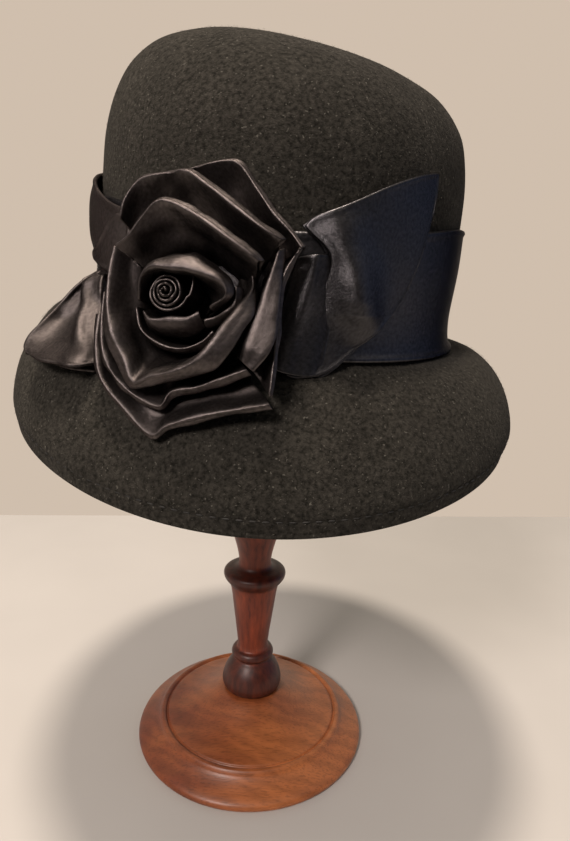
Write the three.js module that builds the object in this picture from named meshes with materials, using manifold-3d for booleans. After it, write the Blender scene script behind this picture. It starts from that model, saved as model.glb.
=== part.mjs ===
// A black felt cloche hat with a satin band, a satin wing, a brim leaf and a large ribbon rose,
// carried on a turned wooden hat stand. Millimetres, +Z up, origin at the middle of the
// stand's underside. The hat's front faces -Y and its trimmings sit on the -X and -Y side.

import * as THREE from "three";
import Module from "manifold-3d";
import { mergeVertices } from "three/addons/utils/BufferGeometryUtils.js";

const wasm = await Module();
wasm.setup();

// ---------------------------------------------------------------- driving dimensions

const GAP = 0.3; // clearance between neighbouring pieces
const CUT_SMOOTHING = 0.05; // faces this close to flat are joined after a cut
const FELT_WALL = 2.5; // wool felt
const HEM_WALL = 4.4; // felt turned under and stitched at the brim's edge
const HEM_START = 14.15; // felt row at which the turned hem begins
const HEM_ROUND = 1.3; // how far the hem's round edge reaches past the last row
const BAND_WALL = 1.5; // satin over its stiffening
const SATIN_WALL = 1.2; // doubled satin ribbon
const PETAL_WALL = 1.3; // doubled satin ribbon of the rose
const COIL_WALL = 0.9; // rolled ribbon in the middle of the rose

const BASE_RADIUS = 65;
const BASE_TOP = 27.6;
const COLUMN_FOOT = BASE_TOP + GAP;
const CAP_UNDERSIDE = 325.3;
const POST_RADIUS = 11;

const FELT_SIDES = 36; // facets round the felt
const TURNED_SIDES = 32; // facets round the turned wood
const HALVINGS = 24; // steps of each search by halving

// ---------------------------------------------------------------- tables and curves

function table(columns, rows) {
  return rows.map((row) => Object.fromEntries(columns.map((name, i) => [name, row[i]])));
}

// Catmull-Rom value of every column at place s, where s counts rows from 0.
function along(rows, s) {
  const last = rows.length - 1;
  const i = Math.min(Math.max(Math.floor(s), 0), last - 1);
  const t = s - i;
  const result = {};
  for (const name of Object.keys(rows[0])) {
    const p1 = rows[i][name];
    const p2 = rows[i + 1][name];
    const p0 = i > 0 ? rows[i - 1][name] : 2 * p1 - p2;
    const p3 = i + 2 <= last ? rows[i + 2][name] : 2 * p2 - p1;
    const cubic = 3 * p1 - p0 - 3 * p2 + p3;
    const square = 2 * p0 - 5 * p1 + 4 * p2 - p3;
    result[name] = p1 + 0.5 * t * (p2 - p0 + t * (square + t * cubic));
  }
  return result;
}

function steps(from, to, count) {
  return Array.from({ length: count + 1 }, (_, i) => from + ((to - from) * i) / count);
}

const radians = THREE.MathUtils.degToRad;
const mix = THREE.MathUtils.lerp;

// ---------------------------------------------------------------- closed meshes

function closedGeometry(points, triangles) {
  let volume = 0;
  for (const [a, b, c] of triangles) {
    volume += points[a].dot(new THREE.Vector3().crossVectors(points[b], points[c]));
  }
  const outward = volume > 0 ? triangles : triangles.map(([a, b, c]) => [a, c, b]);
  const geometry = new THREE.BufferGeometry();
  const positions = points.flatMap((p) => [p.x, p.y, p.z]);
  geometry.setAttribute("position", new THREE.Float32BufferAttribute(positions, 3));
  geometry.setIndex(outward.flat());
  return geometry;
}

// Surface normal of a grid of points at row i, column j.
function gridNormal(grid, i, j, loop) {
  const rows = grid.length;
  const before = loop ? grid[(i + rows - 1) % rows] : grid[Math.max(i - 1, 0)];
  const after = loop ? grid[(i + 1) % rows] : grid[Math.min(i + 1, rows - 1)];
  const lengthwise = new THREE.Vector3().subVectors(after[j], before[j]);
  const left = grid[i][Math.max(j - 1, 0)];
  const right = grid[i][Math.min(j + 1, grid[i].length - 1)];
  const crosswise = new THREE.Vector3().subVectors(right, left);
  return new THREE.Vector3().crossVectors(lengthwise, crosswise).normalize();
}

// A sheet of one thickness through a grid of middle-line points, closed at its edges.
function sheetGeometry(grid, thickness, loop = false) {
  const rows = grid.length;
  const columns = grid[0].length;
  const points = [];
  for (const side of [0.5, -0.5]) {
    grid.forEach((row, i) =>
      row.forEach((p, j) => {
        const normal = gridNormal(grid, i, j, loop);
        points.push(p.clone().addScaledVector(normal, side * thickness));
      })
    );
  }
  const at = (side, i, j) => side * rows * columns + (i % rows) * columns + j;
  const triangles = [];
  const quad = (a, b, c, d) => triangles.push([a, b, c], [a, c, d]);
  const lengths = loop ? rows : rows - 1;
  for (let i = 0; i < lengths; i += 1) {
    for (let j = 0; j < columns - 1; j += 1) {
      quad(at(0, i, j), at(0, i + 1, j), at(0, i + 1, j + 1), at(0, i, j + 1));
      quad(at(1, i, j), at(1, i, j + 1), at(1, i + 1, j + 1), at(1, i + 1, j));
    }
    quad(at(0, i, 0), at(1, i, 0), at(1, i + 1, 0), at(0, i + 1, 0));
    const edge = columns - 1;
    quad(at(0, i, edge), at(0, i + 1, edge), at(1, i + 1, edge), at(1, i, edge));
  }
  if (!loop) {
    for (let j = 0; j < columns - 1; j += 1) {
      quad(at(0, 0, j), at(0, 0, j + 1), at(1, 0, j + 1), at(1, 0, j));
      const end = rows - 1;
      quad(at(0, end, j), at(1, end, j), at(1, end, j + 1), at(0, end, j + 1));
    }
  }
  return closedGeometry(points, triangles);
}

// A skin through rings of points, closed by a point at each end.
function ringedGeometry(firstPole, rings, lastPole) {
  const sides = rings[0].length;
  const points = [firstPole, ...rings.flat(), lastPole];
  const at = (ring, k) => 1 + ring * sides + (k % sides);
  const end = points.length - 1;
  const triangles = [];
  for (let k = 0; k < sides; k += 1) {
    triangles.push([0, at(0, k), at(0, k + 1)]);
    triangles.push([end, at(rings.length - 1, k + 1), at(rings.length - 1, k)]);
    for (let ring = 0; ring < rings.length - 1; ring += 1) {
      triangles.push([at(ring, k), at(ring + 1, k), at(ring + 1, k + 1)]);
      triangles.push([at(ring, k), at(ring + 1, k + 1), at(ring, k + 1)]);
    }
  }
  return closedGeometry(points, triangles);
}

function toManifold(geometry) {
  const bare = new THREE.BufferGeometry();
  bare.setAttribute("position", geometry.getAttribute("position"));
  bare.setIndex(geometry.getIndex());
  const merged = mergeVertices(bare, 1e-4);
  return new wasm.Manifold(
    new wasm.Mesh({
      numProp: 3,
      vertProperties: Float32Array.from(merged.getAttribute("position").array),
      triVerts: Uint32Array.from(merged.getIndex().array),
    })
  );
}

function fromManifold(solid) {
  const mesh = solid.getMesh();
  const geometry = new THREE.BufferGeometry();
  geometry.setAttribute("position", new THREE.BufferAttribute(mesh.vertProperties, 3));
  geometry.setIndex(new THREE.BufferAttribute(mesh.triVerts, 1));
  return geometry;
}

// A thin solid grown by the gap: itself joined with copies moved to the corners of a cube.
function swollen(geometry) {
  const solid = toManifold(geometry);
  const sides = [-GAP, GAP];
  const moves = sides.flatMap((x) => sides.flatMap((y) => sides.map((z) => [x, y, z])));
  return wasm.Manifold.union([solid, ...moves.map((move) => solid.translate(move))]);
}

// The largest piece left of a sheet after its swollen neighbours are cut away.
function cutClear(geometry, neighbours) {
  let solid = toManifold(geometry);
  for (const neighbour of neighbours) {
    solid = solid.subtract(neighbour);
  }
  const pieces = solid.decompose();
  pieces.sort((a, b) => b.volume() - a.volume());
  return fromManifold(pieces[0].simplify(CUT_SMOOTHING));
}

// ---------------------------------------------------------------- colours

const FELT = new THREE.MeshStandardMaterial({ color: 0x1e1e1b, roughness: 0.95 });
const SATIN = new THREE.MeshStandardMaterial({ color: 0x17161a, roughness: 0.42 });
const BASE_WOOD = new THREE.MeshStandardMaterial({ color: 0x9a5c3c, roughness: 0.4 });
const COLUMN_WOOD = new THREE.MeshStandardMaterial({ color: 0x7a4030, roughness: 0.4 });

const hat = new THREE.Group();

function addPiece(name, geometry, material) {
  const piece = new THREE.Mesh(geometry, material.clone());
  piece.name = name;
  hat.add(piece);
  return piece;
}

// Every satin sheet is cut clear of the felt and of the sheets already there.
const placed = [];

function addSheet(name, grid, wall, loop = false) {
  const sheet = cutClear(sheetGeometry(grid, wall, loop), placed);
  addPiece(name, sheet, SATIN);
  placed.push(swollen(sheet));
}

// ---------------------------------------------------------------- turned stand

function turned(outline) {
  const profile = outline.map(([radius, height]) => new THREE.Vector2(radius, height));
  return new THREE.LatheGeometry(profile, TURNED_SIDES).rotateX(Math.PI / 2);
}

// [radius, height] up the outside of the disc: edge, skirt, bead, groove, top rising to the column
const BASE_OUTLINE = [
  [0, 0],
  [BASE_RADIUS - 1.2, 0],
  [BASE_RADIUS, 1.2],
  [BASE_RADIUS, 3],
  [63.4, 4.8],
  [57.5, 7.8],
  [53.6, 10.6],
  [52.6, 12.6],
  [51.5, 13.7],
  [50, 13.5],
  [49.2, 12.3],
  [48.6, 12.4],
  [48, 13.8],
  [42, 14.6],
  [35, 16.8],
  [28, 20.2],
  [22, 24],
  [18.2, 26.6],
  [15.4, BASE_TOP],
  [0, BASE_TOP],
];

// squat bulb, lower collar, taper, upper ring, flaring neck, hidden post
const COLUMN_OUTLINE = [
  [0, COLUMN_FOOT],
  [15.2, COLUMN_FOOT],
  [16.6, 30],
  [17.2, 33],
  [15.6, 39.5],
  [12.4, 44.5],
  [9.8, 47],
  [11.6, 48],
  [12.1, 50],
  [11.1, 52.2],
  [8.5, 53],
  [8.6, 57],
  [11, 76],
  [13.2, 93.5],
  [15.6, 95.6],
  [17.6, 99],
  [16.6, 102],
  [9.4, 103],
  [8.6, 108],
  [11.5, 120.5],
  [17, 136],
  [17, 141],
  [POST_RADIUS, 145],
  [POST_RADIUS, CAP_UNDERSIDE - GAP],
  [0, CAP_UNDERSIDE - GAP],
];

const CAP_OUTLINE = [
  [0, CAP_UNDERSIDE],
  [44, CAP_UNDERSIDE],
  [48, CAP_UNDERSIDE + 3],
  [48, CAP_UNDERSIDE + 10],
  [42, CAP_UNDERSIDE + 20],
  [30, CAP_UNDERSIDE + 26],
  [14, CAP_UNDERSIDE + 29],
  [0, CAP_UNDERSIDE + 29.6],
];

addPiece("stand_base", turned(BASE_OUTLINE), BASE_WOOD);
addPiece("stand_column", turned(COLUMN_OUTLINE), COLUMN_WOOD);
addPiece("stand_cap", turned(CAP_OUTLINE), COLUMN_WOOD);

// ---------------------------------------------------------------- felt body

// Rows run from the crown's top over the crown and the crease to the brim's edge. Each is an
// oval: half width, half depth, shift of its middle, height, how far its right side drops
// (lean), how far both sides rise (side) and how far the back left rises (back).
const FELT_ROWS = table(
  ["width", "depth", "shift", "height", "lean", "side", "back"],
  [
    [0, 0, 1, 361, 0, 0, 0],
    [30, 34, 3, 358.5, -5, 0, 0],
    [55, 58, 7, 352, -7.5, 0, 0],
    [70, 76, 9.5, 343, -7.5, 0, 0],
    [77.5, 87, 10, 332, -6.5, 0, 0],
    [81.5, 94, 9.5, 319, -5, 0, 0],
    [83, 98, 9, 302, -4.5, 0, 0],
    [83, 99, 8, 275, -4.5, 0, 2],
    [82.5, 99, 6, 250, -4.5, 0, 12],
    [85.5, 101, 5, 237, -4.5, 0, 20],
    [93, 106, 4, 231, -4.5, 4, 20],
    [103, 113, 3.5, 223, -4.5, 11, 14],
    [111.5, 121, 3.5, 212, -4.5, 15, 8],
    [117, 128, 3.5, 200, -4.5, 17, 5],
    [119.5, 132, 3.5, 189, -4.5, 16, 3],
    [117.5, 132.5, 3, 181, -4.5, 15, 3],
  ]
);
const EDGE_ROW = FELT_ROWS.length - 1;
const SHOULDER_ROW = 2;
const BACK_LEFT = 125; // degrees from +X, anticlockwise from above

// Point on the felt's outer face at an angle (degrees, -90 is the front) and a row.
function onFelt(angle, row) {
  const oval = along(FELT_ROWS, row);
  const turn = radians(angle);
  const towardsBack = (0.5 + 0.5 * Math.cos(turn - radians(BACK_LEFT))) ** 2;
  const rise = oval.lean * Math.cos(turn) + oval.side * Math.cos(turn) ** 2;
  return new THREE.Vector3(
    oval.shift + oval.width * Math.cos(turn),
    oval.depth * Math.sin(turn),
    oval.height + rise + oval.back * towardsBack
  );
}

const NUDGE = { degrees: 1, rows: 0.05 }; // steps that measure the felt's slope

// The same point lifted off the felt by a distance along its outward normal.
function offFelt(angle, row, lift) {
  const place = onFelt(angle, row);
  const round = onFelt(angle + NUDGE.degrees, row).sub(onFelt(angle - NUDGE.degrees, row));
  const below = Math.min(row + NUDGE.rows, EDGE_ROW);
  const down = onFelt(angle, below).sub(onFelt(angle, row - NUDGE.rows));
  const normal = new THREE.Vector3().crossVectors(down, round).normalize();
  return place.addScaledVector(normal, lift);
}

// The row at which the ovals' middle height has a given value, below the crown's shoulder.
function rowAt(height) {
  let low = SHOULDER_ROW;
  let high = EDGE_ROW;
  for (let i = 0; i < HALVINGS; i += 1) {
    const middle = (low + high) / 2;
    if (along(FELT_ROWS, middle).height > height) {
      low = middle;
    } else {
      high = middle;
    }
  }
  return low;
}

function feltBody() {
  const crownRows = [0.5, 1, 1.5, 2, 2.5, 3, 3.5, 4, 4.6, 5.3, 6.2, 7.2, 8.2];
  const hemRows = [HEM_START - 0.05, HEM_START + 0.1, EDGE_ROW];
  const brimRows = [8.7, 9.2, 9.8, 10.5, 11.4, 12.4, 13.4, ...hemRows];
  const rows = [...crownRows, ...brimRows];
  const angles = steps(0, 360, FELT_SIDES).slice(0, -1);
  const ring = (row, lift) => angles.map((angle) => offFelt(angle, row, lift));
  const wall = (row) => (row > HEM_START ? HEM_WALL : FELT_WALL);
  const outer = rows.map((row) => ring(row, 0));
  const inner = rows.map((row) => ring(row, -wall(row))).reverse();
  const hem = angles.map((angle) => {
    const middle = offFelt(angle, EDGE_ROW, -HEM_WALL / 2);
    const downhill = onFelt(angle, EDGE_ROW).sub(onFelt(angle, EDGE_ROW - 0.2)).normalize();
    return middle.addScaledVector(downhill, HEM_ROUND);
  });
  const top = onFelt(0, 0);
  const inside = top.clone().add(new THREE.Vector3(0, 0, -FELT_WALL));
  return ringedGeometry(top, [...outer, hem, ...inner], inside);
}

addPiece("felt_body", feltBody(), FELT);

// ---------------------------------------------------------------- band and its folds

// A sheet over the felt between two height lines. lift is the sheet's middle line above the
// felt at its top edge, belly and bottom edge.
function feltStrip(rows, count, across, loop = false) {
  const places = steps(0, rows.length - 1, count).slice(0, loop ? -1 : undefined);
  return places.map((s) => {
    const row = along(rows, s);
    return steps(0, 1, across).map((t) => {
      const height = mix(row.top, row.bottom, t);
      const edge = mix(row.topLift, row.bottomLift, t);
      const lift = edge + (row.belly - (row.topLift + row.bottomLift) / 2) * 4 * t * (1 - t);
      return offFelt(row.angle, rowAt(height), lift);
    });
  });
}

const STRIP_COLUMNS = ["angle", "top", "bottom", "topLift", "belly", "bottomLift"];
const FACET_ROOM = 0.15; // keeps the flats of the band off the flats of the felt
const BAND_LIFT = GAP + BAND_WALL / 2 + FACET_ROOM;
const BAND_BELLY = 0.2;

const BAND_ROWS = table(["angle", "top", "bottom"], [
  [-90, 280, 236],
  [-60, 283, 236],
  [-30, 287, 236],
  [0, 289, 237],
  [30, 290, 238],
  [60, 290, 238],
  [90, 290, 238],
  [120, 290, 238],
  [150, 290, 238],
  [180, 289, 238],
  [210, 287, 237],
  [240, 283, 236],
  [270, 280, 236],
]).map((row) => ({
  ...row,
  topLift: BAND_LIFT,
  belly: BAND_LIFT + BAND_BELLY,
  bottomLift: BAND_LIFT,
}));
addSheet("satin_band", feltStrip(BAND_ROWS, FELT_SIDES, 4, true), BAND_WALL, true);
placed.push(swollen(feltBody()));

const SIDE_FOLD_ROWS = table(STRIP_COLUMNS, [
  [-208, 292, 262, 2.9, 3.2, 2.9],
  [-185, 298, 263, 3.4, 4, 3],
  [-165, 299, 264, 3.8, 4.4, 3],
  [-150, 295, 264, 3.8, 4.4, 3],
  [-138, 285, 260, 3.6, 4, 3],
  [-126, 280, 257, 3.2, 3.4, 3],
]);
addSheet("band_side_fold", feltStrip(SIDE_FOLD_ROWS, 12, 4), SATIN_WALL);

const PLEAT_ROWS = table(STRIP_COLUMNS, [
  [-145, 264.5, 261.5, 5.4, 5.4, 5],
  [-139, 270, 259.5, 5.8, 5.8, 5],
  [-133, 279, 258, 5.4, 5.8, 4.8],
  [-127, 278, 257, 5, 5.2, 4.8],
]);
addSheet("band_pleat", feltStrip(PLEAT_ROWS, 6, 3), SATIN_WALL);

// ---------------------------------------------------------------- wing

// Rows of sheets that are cut on a slant: each row crosses the sheet at four places, each
// with an angle, a height on the felt and a lift off it.
const CROSS_PLACES = ["first", "second", "third", "fourth"];
const CROSS_COLUMNS = CROSS_PLACES.flatMap((name) => [
  `${name}Angle`,
  `${name}Height`,
  `${name}Lift`,
]);

function feltCross(rows, count, across) {
  return steps(0, rows.length - 1, count).map((s) => {
    const row = along(rows, s);
    const places = CROSS_PLACES.map((name) => ({
      angle: row[`${name}Angle`],
      height: row[`${name}Height`],
      lift: row[`${name}Lift`],
    }));
    return steps(0, places.length - 1, across).map((t) => {
      const place = along(places, t);
      return offFelt(place.angle, rowAt(place.height), place.lift);
    });
  });
}

// From the edge under the rose to the tip; each row runs from the top edge down to the foot.
const WING_ROWS = table(CROSS_COLUMNS, [
  [-83.5, 282, 4.2, -77, 272, 4, -80, 250, 4, -85, 231, 3.6],
  [-81.5, 285, 4.4, -75, 272, 4.4, -77, 250, 4.4, -81, 231, 3.8],
  [-76, 288.5, 4.4, -71.5, 272, 4.8, -73.5, 252, 4.8, -76, 233, 4],
  [-71, 292, 4.2, -67.5, 274, 4.8, -68, 256, 4.8, -70, 239.5, 4.2],
  [-65, 297.5, 4, -62.5, 279, 4.6, -63, 262, 4.6, -64, 248, 4.2],
  [-59, 300.5, 3.6, -57.5, 286, 4.2, -57.5, 271, 4.2, -58, 258, 4.2],
  [-54, 303, 3, -53, 292, 3.6, -53, 281, 3.8, -54.5, 270, 4],
  [-49, 305, 2.4, -49, 301, 2.8, -49.5, 296, 3, -50.5, 290, 3],
]);
addSheet("satin_wing", feltCross(WING_ROWS, 12, 5), SATIN_WALL);

const WING_PLEAT_ROWS = table(STRIP_COLUMNS, [
  [-88, 262, 233, 7.2, 7.4, 6],
  [-85, 271, 231.5, 7.8, 8, 6.2],
  [-81, 271.8, 231.5, 7.4, 7.4, 6.2],
  [-77, 272, 233.5, 6.4, 6.6, 6.2],
]);
addSheet("wing_pleat", feltStrip(WING_PLEAT_ROWS, 5, 4), SATIN_WALL);

// ---------------------------------------------------------------- leaf on the brim

// Rows of a sheet that stands free: each row crosses the sheet at four points.
const POINT_COLUMNS = CROSS_PLACES.flatMap((name) => [`${name}X`, `${name}Y`, `${name}Z`]);

function freeSheet(rows, count, across) {
  return steps(0, rows.length - 1, count).map((s) => {
    const row = along(rows, s);
    const places = CROSS_PLACES.map((name) => ({
      x: row[`${name}X`],
      y: row[`${name}Y`],
      z: row[`${name}Z`],
    }));
    return steps(0, places.length - 1, across).map((t) => {
      const place = along(places, t);
      return new THREE.Vector3(place.x, place.y, place.z);
    });
  });
}

// From its root on the side fold down to the round end; each row runs from the outer edge over
// a hollow and a raised fold to the edge next to the rose.
const LEAF_ROWS = table(POINT_COLUMNS, [
  [-65.5, -55, 262, -63.5, -57, 262, -62, -59, 262, -59.5, -61, 262],
  [-68, -64, 260, -66, -66, 260, -64, -68, 260, -61, -71, 260],
  [-70, -65.5, 255, -67.5, -67.5, 255, -63.5, -73, 255, -60, -75, 255],
  [-71.5, -68, 250.5, -68, -69.5, 250, -63, -77, 250, -59, -79, 251],
  [-74, -72, 246, -69.5, -74, 244.5, -62.5, -84, 245, -58, -84, 245],
  [-79, -74, 242, -72, -79, 240.5, -62, -91, 240, -57.5, -89, 240],
  [-85, -76, 237, -76, -82.5, 235.5, -62.5, -98, 236, -55, -95, 236],
  [-88.5, -80, 233, -77, -88.5, 231, -63.5, -102, 232, -54, -100, 233],
  [-86, -85, 230, -75, -95, 228, -62, -104.5, 230, -53, -103, 232],
]);
addSheet("brim_leaf", freeSheet(LEAF_ROWS, 12, 6), SATIN_WALL);

const LEAF_LOWER_ROWS = table(CROSS_COLUMNS, [
  [-149, 221, 1.3, -143, 223, 1.3, -137, 225, 1.3, -130, 227, 1.3],
  [-148, 212, 1.4, -141, 215, 1.3, -134, 218, 1.3, -127, 221, 1.3],
  [-143, 206.5, 1.8, -137, 207.5, 1.6, -131, 209.5, 1.5, -124, 214, 1.3],
]);
addSheet("brim_leaf_lower", feltCross(LEAF_LOWER_ROWS, 4, 5), SATIN_WALL);

// ---------------------------------------------------------------- rose

// The rose has a frame of its own: x across, y up and z out from the hat, square to its face.
const ROSE_PLACE = new THREE.Vector3(-22, -97, 256);
const roseOut = new THREE.Vector3(-0.2, -0.95, 0.24).normalize();
const roseAcross = new THREE.Vector3(0, 0, 1).cross(roseOut).normalize();
const roseUp = new THREE.Vector3().crossVectors(roseOut, roseAcross);

function onRose(x, y, z) {
  return ROSE_PLACE.clone()
    .addScaledVector(roseAcross, x)
    .addScaledVector(roseUp, y)
    .addScaledVector(roseOut, z);
}

// The middle is a ribbon rolled into a coil.
const COIL = { x: 0, y: -3, turns: 2.6, inner: 1.2, outer: 6.2, root: 7, rim: 22, slope: 3, steps: 34 };

// A petal is a length of ribbon that leans out from its root to a rim, where it rolls over to
// a lip. Each row gives the three places, and the belly between root and rim hangs back.
const PETAL_COLUMNS = [
  "rootX", "rootY", "rootZ", "rimX", "rimY", "rimZ", "lipX", "lipY", "lipZ",
];
const PETAL_SAG = 1.2;
const GATHER = 0.9; // how far the petals draw together between their roots and the band
const ROSE_DEPTH = 30; // deeper than any root stands off the band
const SEAT_LIFT = BAND_LIFT + BAND_WALL / 2 + GAP;

// The place where a line straight back from a point of the rose comes to rest on the band.
function seatOnBand(point) {
  let near = 0;
  let far = ROSE_DEPTH;
  for (let i = 0; i < HALVINGS; i += 1) {
    const middle = (near + far) / 2;
    const place = point.clone().addScaledVector(roseOut, -middle);
    const oval = along(FELT_ROWS, rowAt(place.z));
    const across = (place.x - oval.shift) / (oval.width + SEAT_LIFT);
    const deep = place.y / (oval.depth + SEAT_LIFT);
    if (across ** 2 + deep ** 2 < 1) {
      far = middle;
    } else {
      near = middle;
    }
  }
  return point.clone().addScaledVector(roseOut, -near);
}

function coilGrid() {
  return steps(0, 1, COIL.steps).map((t) => {
    const turn = t * COIL.turns * 2 * Math.PI;
    const radius = mix(COIL.inner, COIL.outer, t);
    const x = COIL.x + radius * Math.cos(turn);
    const y = COIL.y + radius * Math.sin(turn);
    const rim = onRose(x, y, mix(COIL.rim, COIL.rim - COIL.slope, t));
    return [seatOnBand(onRose(GATHER * x, GATHER * y, COIL.root)), onRose(x, y, COIL.root), rim];
  });
}

function petalGrid(rows, count) {
  return steps(0, rows.length - 1, count).map((s) => {
    const row = along(rows, s);
    const seat = seatOnBand(onRose(GATHER * row.rootX, GATHER * row.rootY, row.rootZ));
    const root = onRose(row.rootX, row.rootY, row.rootZ);
    const rim = onRose(row.rimX, row.rimY, row.rimZ);
    const lip = onRose(row.lipX, row.lipY, row.lipZ);
    const belly = root.clone().lerp(rim, 0.5).addScaledVector(roseOut, -PETAL_SAG);
    return [seat, root, belly, rim, lip];
  });
}

const PETALS = [
  {
    name: "rose_bud_upper",
    rows: [
      [-8.5, -7, 9, -9.2, -6, 20, -10.4, -5, 18],
      [-8, -2, 9, -7.8, 0, 23, -9, 1.5, 20],
      [-6.5, 2.5, 9, -5, 4.2, 24, -5, 6.5, 20],
      [0, 5, 9, 1, 5, 25, 0.5, 9, 19],
      [5.5, 3.8, 9, 6.5, 4.4, 25, 8.5, 9.5, 19],
      [9, 1, 9, 12, 2.8, 24, 14.5, 6.8, 18],
      [11.5, -2, 9, 18, 0.5, 23, 20.5, 2, 19],
      [12, -5.5, 9, 20, -3.5, 22, 22, -3.5, 20],
      [10.5, -8, 9, 15, -7, 20, 15.6, -8.2, 18],
    ],
  },
  {
    name: "rose_bud_lower",
    rows: [
      [-6.8, -8.8, 8, -8, -9.4, 18, -8.8, -10.4, 15.5],
      [-4, -11, 8, -5.5, -12.5, 19, -6.5, -15, 14],
      [1, -11.8, 8, 1, -13, 19, 1, -16.5, 13],
      [6, -11.8, 8, 7, -12.5, 19, 7, -16, 13],
      [8.5, -10.5, 8, 11, -9.8, 18, 12, -12.5, 14],
    ],
  },
  {
    name: "rose_bud_right",
    rows: [
      [16.5, 0, 7, 24, 0.5, 20, 25, 1, 18],
      [16.5, -5, 7, 23.4, -5, 20, 24.4, -5.4, 18],
      [15, -9, 7, 20.5, -9.5, 20, 21.4, -10.4, 18],
      [12.5, -12, 7, 16, -12.5, 19, 16.6, -13.6, 17],
      [10, -13.5, 7, 12, -14, 17, 12.4, -15, 16],
    ],
  },
  {
    name: "rose_bud_bowl",
    rows: [
      [-10, -7, 6, -12, -8, 15, -13.2, -8.4, 13.5],
      [-8, -13, 6, -9.2, -15, 16, -10.2, -16, 14.5],
      [-2, -17.5, 6, -2, -19.5, 17, -2.2, -20.8, 15.5],
      [5, -18, 6, 5.5, -20.5, 17, 5.8, -21.8, 15.5],
      [11, -16, 6, 12, -18, 17, 12.8, -19, 15.5],
      [14, -13, 6, 15.5, -14.5, 17, 16.4, -15.4, 15.5],
    ],
  },
  {
    name: "rose_petal_right_inner",
    rows: [
      [20, -5, 7, 27, -7, 24, 30, -7.5, 20.5],
      [19, -10, 7, 23, -13, 24, 27, -15, 20],
      [16, -16, 7, 18, -20, 24, 22, -23, 20],
      [9, -20, 7, 13.5, -24.5, 24, 15.5, -28.6, 20],
      [3, -22, 7, 6, -27.5, 23, 6.4, -31, 19],
      [-3, -22, 7, -2, -29.5, 22, -2.5, -33, 19],
      [-7.5, -20, 7, -8, -32.5, 21, -9.5, -35, 18.5],
      [-10.5, -16, 7, -12, -25, 20.5, -14.4, -26, 18],
      [-12, -10, 7, -16.5, -17, 20, -19, -17.6, 17.5],
      [-13, -3, 7, -20, -8, 19, -22, -8.4, 16.5],
      [-13, 2, 7, -20.5, 1, 18, -22.4, 1.2, 15.5],
      [-12.5, 7, 7, -20, 9.5, 17, -21.8, 10.2, 14.5],
    ],
  },
  {
    name: "rose_petal_upper_inner",
    rows: [
      [-10, 5.5, 10, -16, 10, 22, -18, 10.6, 19],
      [-8.5, 8, 10, -12.5, 15, 23, -14.6, 16, 20],
      [-5.5, 10.5, 10, -8, 21, 24, -9.6, 23.2, 21],
      [-1, 12.5, 10, -3, 25, 25, -3.4, 27.8, 21.5],
      [5, 13, 10, 3.5, 25.5, 25, 4.4, 28.4, 21.5],
      [12, 11.5, 10, 11.5, 21.5, 25, 13, 24.4, 21.5],
      [19, 7.5, 10, 21, 15, 25, 22.8, 17.8, 21.5],
      [24, 3.5, 10, 28, 10, 24, 30, 12.4, 21],
      [26, 2, 10, 31, 8, 22.5, 33, 9, 20],
    ],
  },
  {
    name: "rose_petal_upper_middle",
    rows: [
      [-13, 13, 8, -18, 20, 17, -19.6, 20.6, 14],
      [-12, 18, 8, -17, 27, 18, -18.8, 28, 15],
      [-8, 23, 8, -13.5, 34, 18.5, -15, 36, 15.5],
      [-2, 26.5, 8, -5, 36.5, 19.5, -5.4, 39, 16],
      [4.5, 26, 8, 3, 38, 20, 4, 40.6, 16.5],
      [12, 21.5, 8, 9.5, 33.5, 21, 11.4, 36.4, 17],
      [20, 15, 8, 19, 26.5, 21, 21, 29.2, 17],
      [26, 11, 8, 30, 18.5, 21, 32, 21, 17],
      [28.5, 10, 8, 36, 15.5, 19, 38, 17, 15.5],
    ],
  },
  {
    name: "rose_petal_upper_outer",
    rows: [
      [3, 35, 8.4, 1, 40, 12.6, 0.6, 41, 11.4],
      [8, 33, 8.4, 6, 42, 13, 5.8, 43.2, 11.6],
      [13, 31, 8, 15, 43.4, 13, 15.2, 44.6, 11.6],
      [17, 28, 8, 19.5, 42.5, 12.4, 20.4, 43.4, 11.2],
      [22, 24, 8, 25, 35, 12, 26.2, 35.8, 10.8],
      [27, 20, 8, 31, 27, 12, 32.2, 27.8, 10.8],
      [31.5, 15.5, 8, 37, 21, 12, 38.2, 21.8, 10.8],
      [34.5, 12, 7, 42, 15, 12, 43, 15.6, 10.8],
    ],
  },
  {
    name: "rose_petal_right_middle",
    rows: [
      [28.5, 6, 7, 35.5, 13, 17.5, 37.5, 14.5, 14.5],
      [27.5, 1, 7, 34, 3, 18, 37, 3, 14.5],
      [25.5, -6, 7, 32, -7, 18, 36.2, -8, 14.5],
      [23.5, -12, 7, 30, -14, 18, 35, -16, 14.5],
      [21.5, -17, 7, 28.5, -19, 18, 32.4, -21, 14.5],
      [20, -20, 7, 27, -24, 17, 28.8, -26, 14.5],
    ],
  },
  {
    name: "rose_petal_lower_middle",
    rows: [
      [20, -22, 6, 27, -25.5, 15, 28.8, -27.6, 12.5],
      [14.5, -25, 6, 18.5, -29.5, 16, 19.4, -32, 13],
      [8.5, -27, 6, 11, -32.5, 16, 11.4, -35, 13],
      [2, -28, 6.4, 3, -34.5, 16, 3, -37.2, 13.5],
      [-3, -28.5, 6.6, -1, -39.5, 16, -1.6, -41.6, 13.8],
      [-9, -28, 6.4, -11, -36, 15.5, -12.8, -37.6, 13.4],
      [-14, -24, 6, -18.5, -30, 15, -20.6, -31, 12.5],
      [-17, -18, 5, -23, -23, 14, -25.4, -23.6, 11.5],
      [-18.5, -10, 4, -25, -13, 13, -27.4, -13.2, 10.4],
      [-18.5, -3, 4, -25.5, -3, 12, -27.6, -3, 9.4],
    ],
  },
  {
    name: "rose_petal_right_outer",
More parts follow.
